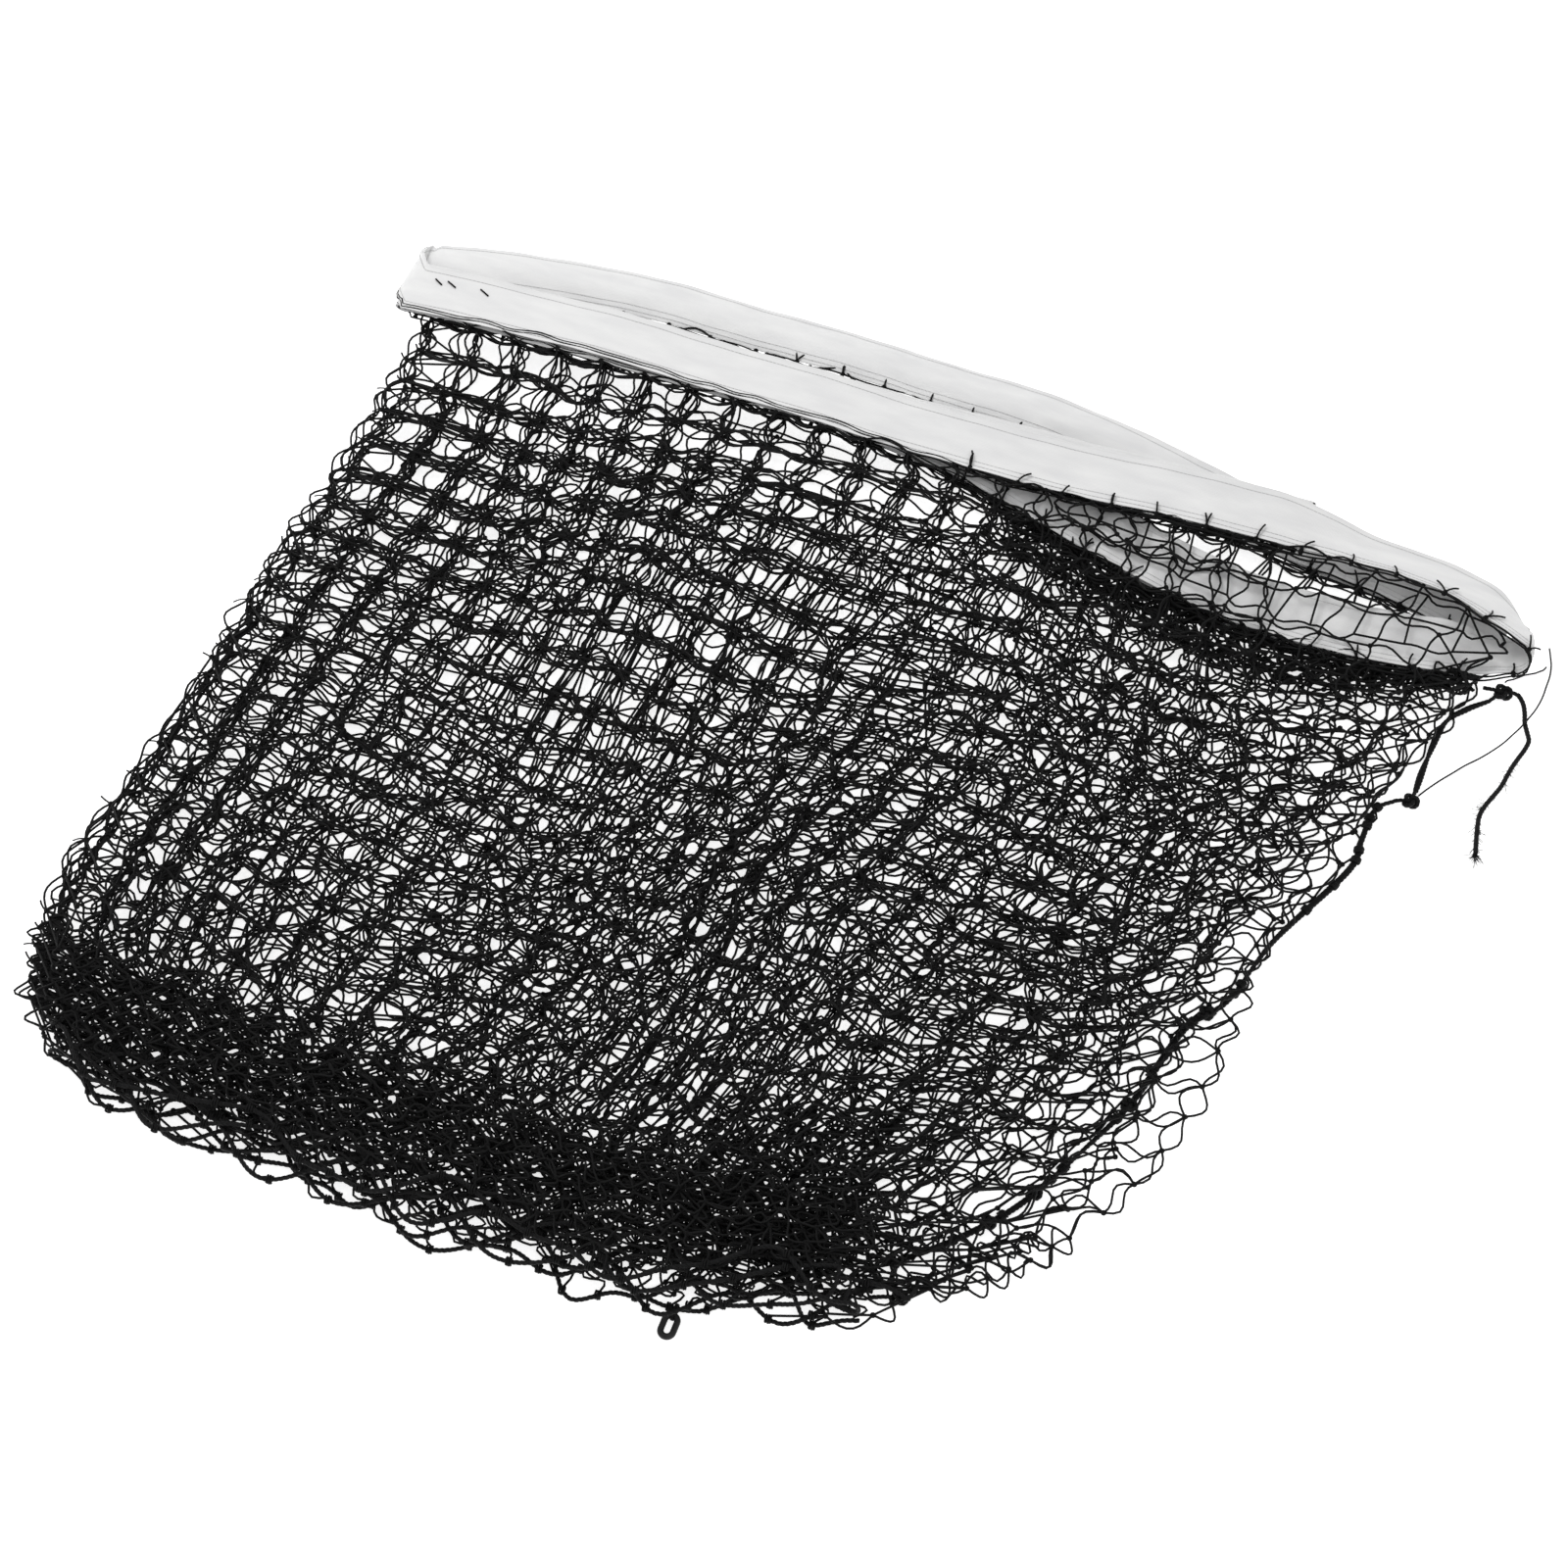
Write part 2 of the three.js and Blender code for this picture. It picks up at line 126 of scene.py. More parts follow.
# Fold lines and free edges of the net, as (y, x) points of a smooth line.
LEFT_EDGE = [(-0.560, -0.492), (-0.500, -0.538), (-0.440, -0.566), (-0.340, -0.580), (-0.120, -0.564),
             (0.120, -0.552), (0.400, -0.540)]
OUTER_EDGE = [(-0.560, 0.222), (-0.471, 0.236), (-0.422, 0.254), (-0.327, 0.311), (-0.219, 0.367),
              (-0.089, 0.420), (-0.010, 0.460), (0.190, 0.535), (0.400, 0.600)]
INNER_EDGE = [(-0.560, 0.215), (-0.471, 0.228), (-0.422, 0.246), (-0.327, 0.300), (-0.200, 0.352),
              (0.000, 0.395), (0.200, 0.390), (0.400, 0.356)]
STRAY_EDGE = [(-0.560, 0.285), (-0.486, 0.318), (-0.433, 0.360), (-0.389, 0.400), (-0.335, 0.430),
              (-0.265, 0.456), (-0.185, 0.471), (-0.074, 0.478), (0.060, 0.492), (0.200, 0.528),
              (0.340, 0.546)]
FREE_EDGE = [(-0.560, 0.240), (-0.455, 0.262), (-0.402, 0.310), (-0.350, 0.350), (-0.281, 0.384),
             (-0.214, 0.412), (-0.126, 0.432), (-0.082, 0.458), (-0.005, 0.476), (0.094, 0.518),
             (0.157, 0.522), (0.230, 0.544), (0.344, 0.580)]
RIGHT_EDGES = {1: OUTER_EDGE, 2: INNER_EDGE, 3: INNER_EDGE, 4: OUTER_EDGE,
               5: STRAY_EDGE, 6: STRAY_EDGE, 7: FREE_EDGE, 8: FREE_EDGE}
# Outermost line of the bottom rope, and the slack waves that it lies in.
BOTTOM_LINE = [(-0.540, -0.512), (-0.440, -0.548), (-0.300, -0.562), (-0.060, -0.568), (0.112, -0.556),
               (0.200, -0.536), (0.310, -0.494)]
WAVE_LENGTH = 0.236
WAVE_HEIGHT = 0.021
WAVE_PHASE_STEP = 2.1  # radians from one layer's waves to the next
KINK_FADE = 0.04  # the length over which finer kinks fade out
RING_X = ROPE_LEFT + 0.8 * (ROPE_END - ROPE_LEFT)
LASHED_HEIGHT = 0.0051  # of the rope's middle, where the ring is lashed to it
LASHING_HUMP = 0.030  # half the length over which the rope rises to it
RING_BEND_RADIUS = 0.0057
RING_STOCK_RADIUS = 0.0030

# Routes of the ropes and loose threads at the free end, as (x, y, z) points.
SIDE_ROPE_Z = 0.0027
SIDE_ROPE_A = [(x, y, SIDE_ROPE_Z) for x, y in [
    (0.599, 0.332), (0.581, 0.314), (0.566, 0.290), (0.562, 0.240), (0.562, 0.204)]]
SIDE_ROPE_B = [(x, y, SIDE_ROPE_Z) for x, y in [
    (0.548, 0.188), (0.532, 0.170), (0.530, 0.130), (0.528, 0.094), (0.486, -0.005), (0.466, -0.082),
    (0.438, -0.126), (0.418, -0.214), (0.391, -0.281), (0.358, -0.350), (0.318, -0.402), (0.280, -0.440),
    (0.277, -0.460)]]
TAIL_ROUTE = [
    (0.622, 0.348, 0.0050), (0.626, 0.346, 0.0036), (0.631, 0.340, 0.0026), (0.635, 0.330, 0.0026),
    (0.638, 0.319, 0.0026), (0.643, 0.309, 0.0026), (0.647, 0.300, 0.0026), (0.646, 0.289, 0.0026),
    (0.643, 0.277, 0.0026), (0.640, 0.264, 0.0026), (0.638, 0.251, 0.0026), (0.636, 0.238, 0.0026),
    (0.632, 0.225, 0.0026), (0.628, 0.212, 0.0026), (0.626, 0.199, 0.0026), (0.628, 0.184, 0.0026),
    (0.631, 0.169, 0.0026), (0.634, 0.156, 0.0026),
]
LONG_THREAD_ROUTE = [
    (0.566, 0.201, 0.0020), (0.572, 0.213, 0.0010), (0.580, 0.226, 0.0010), (0.589, 0.239, 0.0010),
    (0.598, 0.252, 0.0010), (0.608, 0.264, 0.0012), (0.617, 0.276, 0.0022), (0.625, 0.288, 0.0038),
    (0.631, 0.300, 0.0052), (0.636, 0.311, 0.0060), (0.640, 0.323, 0.0061), (0.643, 0.334, 0.0048),
    (0.645, 0.346, 0.0028), (0.646, 0.358, 0.0014), (0.646, 0.370, 0.0010), (0.646, 0.383, 0.0010),
    (0.644, 0.396, 0.0010), (0.640, 0.408, 0.0010), (0.637, 0.416, 0.0010),
]
SHORT_THREAD_ROUTE = [
    (0.608, 0.357, 0.0060), (0.609, 0.361, 0.0040), (0.611, 0.364, 0.0022), (0.614, 0.367, 0.0011),
    (0.617, 0.370, 0.0010), (0.620, 0.373, 0.0010), (0.623, 0.376, 0.0010), (0.626, 0.378, 0.0010),
    (0.629, 0.380, 0.0010), (0.632, 0.382, 0.0010), (0.634, 0.384, 0.0010), (0.636, 0.386, 0.0010),
    (0.638, 0.388, 0.0010), (0.639, 0.390, 0.0010), (0.640, 0.393, 0.0010),
]


# ---- Curves ----
def smooth_line(points):
    """A smooth function through (position, value) points, flat beyond the two ends."""
    at = np.array([p[0] for p in points])
    value = np.array([p[1] for p in points])
    before = np.maximum(np.arange(len(at)) - 1, 0)
    after = np.minimum(np.arange(len(at)) + 1, len(at) - 1)
    slope = (value[after] - value[before]) / (at[after] - at[before])

    def line(position):
        x = np.clip(position, at[0], at[-1])
        i = np.clip(np.searchsorted(at, x) - 1, 0, len(at) - 2)
        span = at[i + 1] - at[i]
        t = (x - at[i]) / span
        start = (1 + 2 * t) * (1 - t) ** 2 * value[i] + t * (1 - t) ** 2 * span * slope[i]
        end = t * t * (3 - 2 * t) * value[i + 1] + t * t * (t - 1) * span * slope[i + 1]
        return start + end

    return line


def wander(seed, wavelength, amount, waves=7):
    """A smooth random function of x and y, about -amount to amount."""
    rng = np.random.default_rng(seed)
    angle = rng.uniform(0, 2 * math.pi, waves)
    number = 2 * math.pi / (wavelength * rng.uniform(0.6, 1.6, waves))
    phase = rng.uniform(0, 2 * math.pi, waves)
    scale = amount / math.sqrt(waves / 2)

    def field(x, y):
        total = 0
        for a, k, p in zip(angle, number, phase):
            total = total + np.sin(k * (x * math.cos(a) + y * math.sin(a)) + p)
        return total * scale

    return field


head_line = {layer: smooth_line(points) for layer, points in HEAD_LINES.items()}
left_edge = smooth_line(LEFT_EDGE)
right_edge = {layer: smooth_line(points) for layer, points in RIGHT_EDGES.items()}
bottom_line = smooth_line(BOTTOM_LINE)
rope_kinks = {layer: wander(80 + layer, 0.10, 0.0075) for layer in HEAD_LINES}


def layer_middle(layer):
    return (LAYERS - layer + 0.5) * LAYER_PITCH


def bottom_rope_y(layer, x):
    """The CAD's slack waves, with finer kinks that fade out at the folds and at the ring."""
    phase = 2 * math.pi * (x - RING_X) / WAVE_LENGTH + (LAYERS - layer) * WAVE_PHASE_STEP
    ends = np.minimum(abs(x - ROPE_LEFT), abs(x - ROPE_RIGHT[layer]))
    clear = np.clip(ends / KINK_FADE, 0, 1)
    if layer == LAYERS:
        clear = clear * np.clip(abs(x - RING_X) / KINK_FADE - 0.5, 0, 1)
    kinks = rope_kinks[layer](x, 0.0) * clear
    return bottom_line(x) + WAVE_HEIGHT * (1 - np.cos(phase)) + kinks


def bottom_rope_z(layer, x):
    middle = layer_middle(layer)
    away = np.minimum(abs(x - RING_X) / LASHING_HUMP, 1)
    lift = (LASHED_HEIGHT - middle) * np.cos(away * math.pi / 2) ** 2
    return middle + (lift if layer == LAYERS else 0)


def spline(points, spacing):
    """Evenly spaced points on a smooth curve through the given ones."""
    p = np.array(points, float)
    padded = np.vstack([2 * p[0] - p[1], p, 2 * p[-1] - p[-2]])
    pieces = []
    for i in range(len(p) - 1):
        a, b, c, d = padded[i:i + 4]
        t = np.linspace(0, 1, 24, endpoint=False)[:, None]
        pieces.append(0.5 * (2 * b + (c - a) * t + (2 * a - 5 * b + 4 * c - d) * t ** 2
                             + (3 * b - a - 3 * c + d) * t ** 3))
    return respace(np.vstack(pieces + [p[-1:]]), spacing)


def respace(points, spacing):
    length = np.concatenate([[0], np.cumsum(np.linalg.norm(np.diff(points, axis=0), axis=1))])
    count = max(2, round(length[-1] / spacing) + 1)
    even = np.linspace(0, length[-1], count)
    return np.stack([np.interp(even, length, points[:, k]) for k in range(3)], axis=1)


def path_length(points):
    return float(np.linalg.norm(np.diff(points, axis=0), axis=1).sum())


def mean_step(points):
    return path_length(points) / (len(points) - 1)


# ---- Meshes ----
THREAD_UV = "thread"  # metres along and across each thread or cloth
X_AXIS = np.array([1.0, 0, 0])
Z_AXIS = np.array([0, 0, 1.0])


def unit(vectors):
    """The directions of many vectors; the last axis holds x, y and z."""
    return vectors / np.linalg.norm(vectors, axis=-1)[..., None]


def transport_frames(points):
    """Unit tangents and two unit normals that don't twist along the line."""
    tangent = unit(np.gradient(points, axis=0))
    normal = np.empty_like(tangent)
    start = Z_AXIS if abs(tangent[0][2]) < 0.8 else X_AXIS
    normal[0] = start - tangent[0] * (start @ tangent[0])
    normal[0] /= np.linalg.norm(normal[0])
    for i in range(1, len(points)):
        n = normal[i - 1] - tangent[i] * (normal[i - 1] @ tangent[i])
        normal[i] = n / np.linalg.norm(n)
    return tangent, normal, np.cross(tangent, normal)


def circle(angle, first, second):
    """Unit vectors at each angle from the first towards the second, for each pair of unit vectors."""
    return np.cos(angle)[:, None] * first[..., None, :] + np.sin(angle)[:, None] * second[..., None, :]


def even_angles(count):
    return np.arange(count) * 2 * math.pi / count


def with_tips(wall, first, last):
    """A tube's wall with one more row at each end, all of it at one point."""
    rows = [np.broadcast_to(tip, wall[:1].shape) for tip in (first, last)]
    return np.concatenate([rows[0], wall, rows[1]])


class MeshParts:
    """Gathers vertices, quads and UVs, and makes one mesh object of them."""

    def __init__(self):
        self.vertices = []
        self.quads = []
        self.uvs = []
        self.count = 0

    def grid(self, points, uv, wrap_rows=False, wrap_columns=False):
        """Quads over a (rows, columns, 3) grid of points, facing rows x columns."""
        rows, columns = points.shape[:2]
        row = np.arange(rows if wrap_rows else rows - 1)
        column = np.arange(columns if wrap_columns else columns - 1)
        i, j = (a.ravel() for a in np.meshgrid(row, column, indexing="ij"))
        i2 = (i + 1) % rows
        j2 = (j + 1) % columns
        quads = np.stack([i * columns + j, i2 * columns + j, i2 * columns + j2, i * columns + j2], axis=1)
        self.vertices.append(points.reshape(-1, 3))
        self.quads.append(quads + self.count)
        corners = np.stack([np.stack([i, j], 1), np.stack([i + 1, j], 1),
                            np.stack([i + 1, j + 1], 1), np.stack([i, j + 1], 1)], axis=1)
        self.uvs.append(corners.reshape(-1, 2) * np.array(uv))
        self.count += rows * columns

    def tube(self, points, radius, sides):
        """A round tube along one line, with a blunt tip at each end."""
        tangent, normal, binormal = transport_frames(points)
        wall = points[:, None, :] + circle(even_angles(sides), normal, binormal) * radius
        tip = tangent[[0, -1]] * radius * 0.4
        wall = with_tips(wall, points[0] - tip[0], points[-1] + tip[1])
        self.grid(wall[:, ::-1], (mean_step(points), 2 * math.pi * radius / sides), wrap_columns=True)

    def tubes(self, lines, radius, sides=5):
        """Many short tubes at once: lines is (tubes, points, 3), and none runs straight up."""
        tubes, points = lines.shape[:2]
        tangent = unit(np.gradient(lines, axis=1))
        across = np.cross(Z_AXIS, tangent)
        across /= np.maximum(np.linalg.norm(across, axis=2), 1e-6)[..., None]
        up = np.cross(tangent, across)
        wall = lines[:, :, None, :] + radius * circle(even_angles(sides), across, up)
        t, i, j = (a.ravel() for a in np.meshgrid(np.arange(tubes), np.arange(points - 1), np.arange(sides),
                                                  indexing="ij"))
        j2 = (j + 1) % sides
        base = t * points * sides
        quads = np.stack([base + i * sides + j, base + i * sides + j2,
                          base + (i + 1) * sides + j2, base + (i + 1) * sides + j], axis=1)
        self.vertices.append(wall.reshape(-1, 3))
        self.quads.append(quads + self.count)
        length = np.linalg.norm(np.diff(lines, axis=1), axis=2).mean(axis=1)[t]
        around = 2 * math.pi * radius / sides
        u = np.stack([i, i, i + 1, i + 1], axis=1) * length[:, None]
        v = np.stack([j, j + 1, j + 1, j], axis=1) * around
        self.uvs.append(np.stack([u, v], axis=2).reshape(-1, 2))
        self.count += tubes * points * sides

    def make(self, name, material, body="net"):
        """One piece of all that was gathered, riding its body."""
        vertices = np.vstack(self.vertices)
        vertices[:, 2] = np.maximum(vertices[:, 2], 0)  # what would sink into the ground lies flat on it
        quads = np.vstack(self.quads)
        mesh = bpy.data.meshes.new(name)
        mesh.vertices.add(len(vertices))
        mesh.vertices.foreach_set("co", vertices.astype(np.float32).ravel())
        mesh.loops.add(quads.size)
        mesh.loops.foreach_set("vertex_index", quads.astype(np.int32).ravel())
        mesh.polygons.add(len(quads))
        mesh.polygons.foreach_set("loop_start", np.arange(0, quads.size, 4, dtype=np.int32))
        mesh.polygons.foreach_set("loop_total", np.full(len(quads), 4, dtype=np.int32))
        mesh.polygons.foreach_set("use_smooth", np.full(len(quads), True))
        layer = mesh.uv_layers.new(name=THREAD_UV)
        layer.data.foreach_set("uv", np.vstack(self.uvs).astype(np.float32).ravel())
        mesh.update(calc_edges=True)
        mesh.validate()
        mesh.materials.append(material)
        piece = bpy.data.objects.new(name, mesh)
        bpy.context.scene.collection.objects.link(piece)
        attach(piece, body)
        return piece


STRANDS = 3  # of a laid rope
STRAND_SHARE = 0.56  # of the rope's radius


def add_twisted(parts, points, radius, pitch=ROPE_PITCH):
    """A laid rope: round strands wound about the line that it follows."""
    line = respace(points, pitch / 8)
    _, normal, binormal = transport_frames(line)
    distance = np.arange(len(line)) * mean_step(line)
    strand_radius = radius * STRAND_SHARE
    for k in range(STRANDS):
        turn = 2 * math.pi * (distance / pitch + k / STRANDS)
        outward = np.cos(turn)[:, None] * normal + np.sin(turn)[:, None] * binormal
        parts.tube(line + outward * (radius - strand_radius), strand_radius, 6)


def add_lobed(parts, line, radius, pitch, strands):
    """A laid cord as one skin: its strands show as round lobes that wind along it."""
    _, normal, binormal = transport_frames(line)
    distance = np.arange(len(line)) * mean_step(line)
    angle = even_angles(6 * strands)
    lobe = np.abs(np.cos(strands / 2 * (angle[None] - 2 * math.pi * distance[:, None] / pitch)))
    reach = radius * (0.74 + 0.34 * lobe)
    wall = line[:, None] + reach[..., None] * circle(angle, normal, binormal)
    wall = with_tips(wall, line[0], line[-1])
    parts.grid(wall[:, ::-1], (mean_step(line), 2 * math.pi * radius / len(angle)), wrap_columns=True)


# ---- Materials ----
class Nodes:
    """A material's node tree, with one short call for each node."""

    def __init__(self, name):
        self.material = bpy.data.materials.new(name)
        self.material.use_nodes = True
        self.tree = self.material.node_tree
        self.shader = self.tree.nodes["Principled BSDF"]

    def feed(self, node, inputs):
        """Gives each named input a value, or a link from another node's output."""
        for name, value in inputs.items():
            if isinstance(value, bpy.types.NodeSocket):
                self.tree.links.new(value, node.inputs[name])
            else:
                node.inputs[name].default_value = value

    def add(self, kind, inputs, **settings):
        node = self.tree.nodes.new(kind)
        for key, value in settings.items():
            setattr(node, key, value)
        self.feed(node, inputs)
        return node

    def mapped(self, vector, scale):
        return self.add("ShaderNodeMapping", {"Vector": vector, "Scale": scale}).outputs["Vector"]

    def noise(self, vector, scale, detail=3.0):
        inputs = {"Vector": vector, "Scale": scale, "Detail": detail}
        return self.add("ShaderNodeTexNoise", inputs).outputs["Fac"]

    def wave(self, vector, scale, distortion, direction):
        inputs = {"Vector": vector, "Scale": scale, "Distortion": distortion}
        return self.add("ShaderNodeTexWave", inputs, bands_direction=direction).outputs["Fac"]

    def math(self, operation, a, b):
        return self.add("ShaderNodeMath", {0: a, 1: b}, operation=operation).outputs["Value"]

    def between(self, factor, low, high, start=0.3, end=0.7):
        """The factor from start to end, spread from low to high; colours or numbers."""
        if isinstance(low, tuple):
            node = self.add("ShaderNodeValToRGB", {"Fac": factor})
            for stop, place, colour in zip(node.color_ramp.elements, (start, end), (low, high)):
                stop.position = place
                stop.color = (*colour, 1)
            return node.outputs["Color"]
        inputs = {"Value": factor, "From Min": start, "From Max": end, "To Min": low, "To Max": high}
        return self.add("ShaderNodeMapRange", inputs).outputs["Result"]

    def bump(self, height, strength, distance):
        inputs = {"Height": height, "Strength": strength, "Distance": distance}
        return self.add("ShaderNodeBump", inputs).outputs["Normal"]

    def uv(self):
        return self.add("ShaderNodeUVMap", {}, uv_map=THREAD_UV).outputs["UV"]

    def place(self):
        return self.add("ShaderNodeTexCoord", {}).outputs["Object"]


def twine_material(name, dark, light, turns=330, shine=(0.42, 0.62), gloss=0.14):
    """Twisted filaments, slanted along the thread, dull with small glints: some from the gloss, and light
    specks in the base colour that are painted glints.
    """
    n = Nodes(name)
    filaments = n.wave(n.mapped(n.uv(), (1, 1.6, 1)), turns, 1.5, "DIAGONAL")
    blotch = n.noise(n.place(), 60)
    speck_and_painted_glint = n.noise(n.place(), 900, 2)
    # Base colour from the twist's filaments and from light specks; the specks are painted glints, and the
    # specks also give relief in the bump.
    twist_and_painted_glints = n.math("ADD", n.math("MULTIPLY", filaments, 0.45), n.math("MULTIPLY", speck_and_painted_glint, 0.55))
    n.feed(n.shader, {
        "Base Color": n.between(twist_and_painted_glints, dark, light, 0.3, 0.85),
        "Roughness": n.between(blotch, *shine),
        "Specular IOR Level": gloss,
        "Normal": n.bump(n.math("ADD", filaments, n.math("MULTIPLY", speck_and_painted_glint, 0.5)), 0.6, 0.0004),
    })
    return n.material


def tape_material():
    """White woven polyester tape: fine plain weave, with painted shade that greys its colour in the creases
    and in the hollows of the weave.
    """
    n = Nodes("headband tape")
    uv = n.uv()
    warp = n.wave(uv, 240, 0.4, "X")
    weft = n.wave(uv, 240, 0.4, "Y")
    weave = n.math("MULTIPLY", warp, weft)
    crease = n.noise(n.mapped(n.place(), (9, 30, 9)), 2.2, 4)
    # Painted shade: the base colour is greyer along the creases and in the weave's hollows.
    painted_hollow_shade = n.math("ADD", n.math("MULTIPLY", crease, 0.8), n.math("MULTIPLY", weave, 0.2))
    relief = n.math("ADD", n.math("MULTIPLY", weave, 0.35), n.math("MULTIPLY", crease, 1.6))
    n.feed(n.shader, {
        "Base Color": n.between(painted_hollow_shade, (0.80, 0.80, 0.805), (0.91, 0.91, 0.905), 0.28, 0.66),
        "Roughness": n.between(crease, 0.55, 0.72),
        "Sheen Weight": 0.15,
        "Normal": n.bump(relief, 0.5, 0.0006),
    })
    return n.material


def plastic_material():
    """Moulded black plastic with light scuffs."""
    n = Nodes("moulded ring plastic")
    grain = n.noise(n.place(), 1400, 3)
    scuff = n.noise(n.mapped(n.place(), (260, 60, 200)), 1.0, 4)
    n.feed(n.shader, {
        "Base Color": n.between(scuff, (0.006, 0.006, 0.006), (0.016, 0.016, 0.0165), 0.4, 0.75),
        "Roughness": n.between(scuff, 0.3, 0.5),
        "Specular IOR Level": 0.3,
        "Normal": n.bump(grain, 0.2, 0.0002),
    })
    return n.material


twine = twine_material("net twine", (0.0025, 0.0025, 0.0025), (0.013, 0.013, 0.0135))
rope = twine_material("laid rope", (0.0025, 0.0025, 0.0025), (0.018, 0.018, 0.019), 420, gloss=0.16)
thread = twine_material("loose thread", (0.004, 0.004, 0.004), (0.016, 0.016, 0.016), 700)
stitching = twine_material("white stitching", (0.62, 0.62, 0.62), (0.86, 0.86, 0.86), 900, (0.6, 0.8))
tape = tape_material()
plastic = plastic_material()

# ---- Camera, lights and floor ----
CAMERA_AZIMUTH = math.radians(21)
CAMERA_ELEVATION = math.radians(55)
CAMERA_DISTANCE = 3.8
FRAME_WIDTH = 1.488  # what the picture spans at the origin
SENSOR = 36


def make_camera():
    data = bpy.data.cameras.new("camera")
    data.sensor_width = SENSOR
    data.lens = SENSOR * CAMERA_DISTANCE / FRAME_WIDTH
    data.clip_end = 50
    camera = bpy.data.objects.new("camera", data)
    bpy.context.scene.collection.objects.link(camera)
    back = Vector((math.sin(CAMERA_AZIMUTH) * math.cos(CAMERA_ELEVATION),
                   -math.cos(CAMERA_AZIMUTH) * math.cos(CAMERA_ELEVATION), math.sin(CAMERA_ELEVATION)))
    camera.location = back * CAMERA_DISTANCE
    camera.rotation_mode = "QUATERNION"
    camera.rotation_quaternion = (-back).to_track_quat("-Z", "Y")
    bpy.context.scene.camera = camera


def area_light(name, place, size, power):
    data = bpy.data.lights.new(name, "AREA")
    data.size = size
    data.energy = power
    lamp = bpy.data.objects.new(name, data)
    lamp.location = place
    lamp.rotation_mode = "QUATERNION"
    lamp.rotation_quaternion = (-Vector(place)).to_track_quat("-Z", "Y")
    bpy.context.scene.collection.objects.link(lamp)


def make_studio():
    world = bpy.data.worlds.new("studio")
    world.use_nodes = True
    background = world.node_tree.nodes["Background"]
    background.inputs["Color"].default_value = (1, 1, 1, 1)
    background.inputs["Strength"].default_value = 0.62
    bpy.context.scene.world = world
    area_light("key light", (-1.6, 1.4, 2.6), 1.6, 34)
    area_light("fill light", (2.0, -1.8, 2.4), 2.4, 14)
    n = Nodes("white floor")
    n.feed(n.shader, {"Base Color": (0.9, 0.9, 0.9, 1), "Roughness": 0.9,
                      "Emission Color": (1, 1, 1, 1), "Emission Strength": 0.75})
    mesh = bpy.data.meshes.new("floor")
    reach = 12
    mesh.from_pydata([(-reach, -reach, -0.0005), (reach, -reach, -0.0005), (reach, reach, -0.0005),
                      (-reach, reach, -0.0005)], [], [(0, 1, 2, 3)])
    mesh.materials.append(n.material)
    floor = bpy.data.objects.new("floor", mesh)
    bpy.context.scene.collection.objects.link(floor)
    bpy.context.scene.view_settings.view_transform = "Standard"


make_camera()
make_studio()


# ---- Loose cords and ropes ----
def frayed_end(name, line, radius, tufts):
    """Loose filaments where a bare end has come unlaid, most of them towards its tip."""
    rng = np.random.default_rng(9)
    parts = MeshParts()
    tangent = transport_frames(line)[0]
    t = np.linspace(0, 1, 6)[:, None]
    for k in range(tufts):
        at = len(line) - 1 - int(len(line) * 0.6 * rng.random() ** 1.4 * (k % 4 > 0))
        aside = rng.normal(0, 0.6, 3) * np.array([1, 1, 0.3])
        reach = rng.uniform(1.0, 3.2) * radius
        hair = line[at] + rng.normal(0, 0.3, 3) * radius + tangent[at] * reach * t + aside * reach * t ** 1.5
        hair[:, 2] = np.maximum(hair[:, 2], radius * 0.2)
        parts.tube(hair, radius * 0.11, 4)
    return parts.make(name, rope)


def free_cord(name, route, radius, pitch, strands, node, material, tufts=0):
    """A free cord along its route, with the fraying of its bare end."""
    line = spline(route, radius / 2)
    parts = MeshParts()
    add_lobed(parts, line, radius, pitch, strands)
    cord = parts.make(name, material)
    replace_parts(cord, node)
    ends = [frayed_end(name + "_frayed_end", line, radius, tufts)] if tufts else []


free_cord("tail_cord", TAIL_ROUTE, ROPE_RADIUS, 0.012, 3, "tail_rope", rope, tufts=260)
for name, route, node in [("long_thread", LONG_THREAD_ROUTE, "loose_thread_long"),
                          ("short_thread", SHORT_THREAD_ROUTE, "loose_thread_short")]:
    free_cord(name, route, THREAD_RADIUS, 0.004, 2, node, thread)


def folded_route(y_at, z_at, left, right, step, fold_steps):
    """The centre line of a band or rope that goes back and forth through the layers."""
    points = []
    for i, layer in enumerate(FOLD_ORDER):
        ends = (right[layer], left) if i % 2 == 0 else (left, right[layer])
        count = round(abs(ends[1] - ends[0]) / step)
        x = np.linspace(*ends, count)
        points.append(np.stack([x, y_at(layer, x), np.broadcast_to(z_at(layer, x), x.shape)], axis=1))
        if i == len(FOLD_ORDER) - 1:
            break
        other = FOLD_ORDER[i + 1]
        start, end = float(z_at(layer, ends[1])), float(z_at(other, ends[1]))
        t = np.arange(1, fold_steps) / fold_steps
        side = -1 if i % 2 == 0 else 1
        x = ends[1] + side * abs(end - start) / 2 * np.sin(t * math.pi)
        y = y_at(layer, ends[1]) * (1 - t) + y_at(other, ends[1]) * t
        z = (start + end) / 2 + (start - end) / 2 * np.cos(t * math.pi)
        points.append(np.stack([x, y, z], axis=1))
    return np.vstack(points)


def replace_with_rope(name, line, node, radius=ROPE_RADIUS, pitch=ROPE_PITCH, doubled=0.0):
    """A laid rope in a node's place, or two that cross, each up to doubled away from the line."""
    parts = MeshParts()
    if doubled:
        aside = doubled * np.sin(np.linspace(0, 9, len(line)))[:, None] * X_AXIS
        add_twisted(parts, line + aside, radius, pitch)
        line = line - aside
    add_twisted(parts, line, radius, pitch)
    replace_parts(parts.make(name, rope), node)


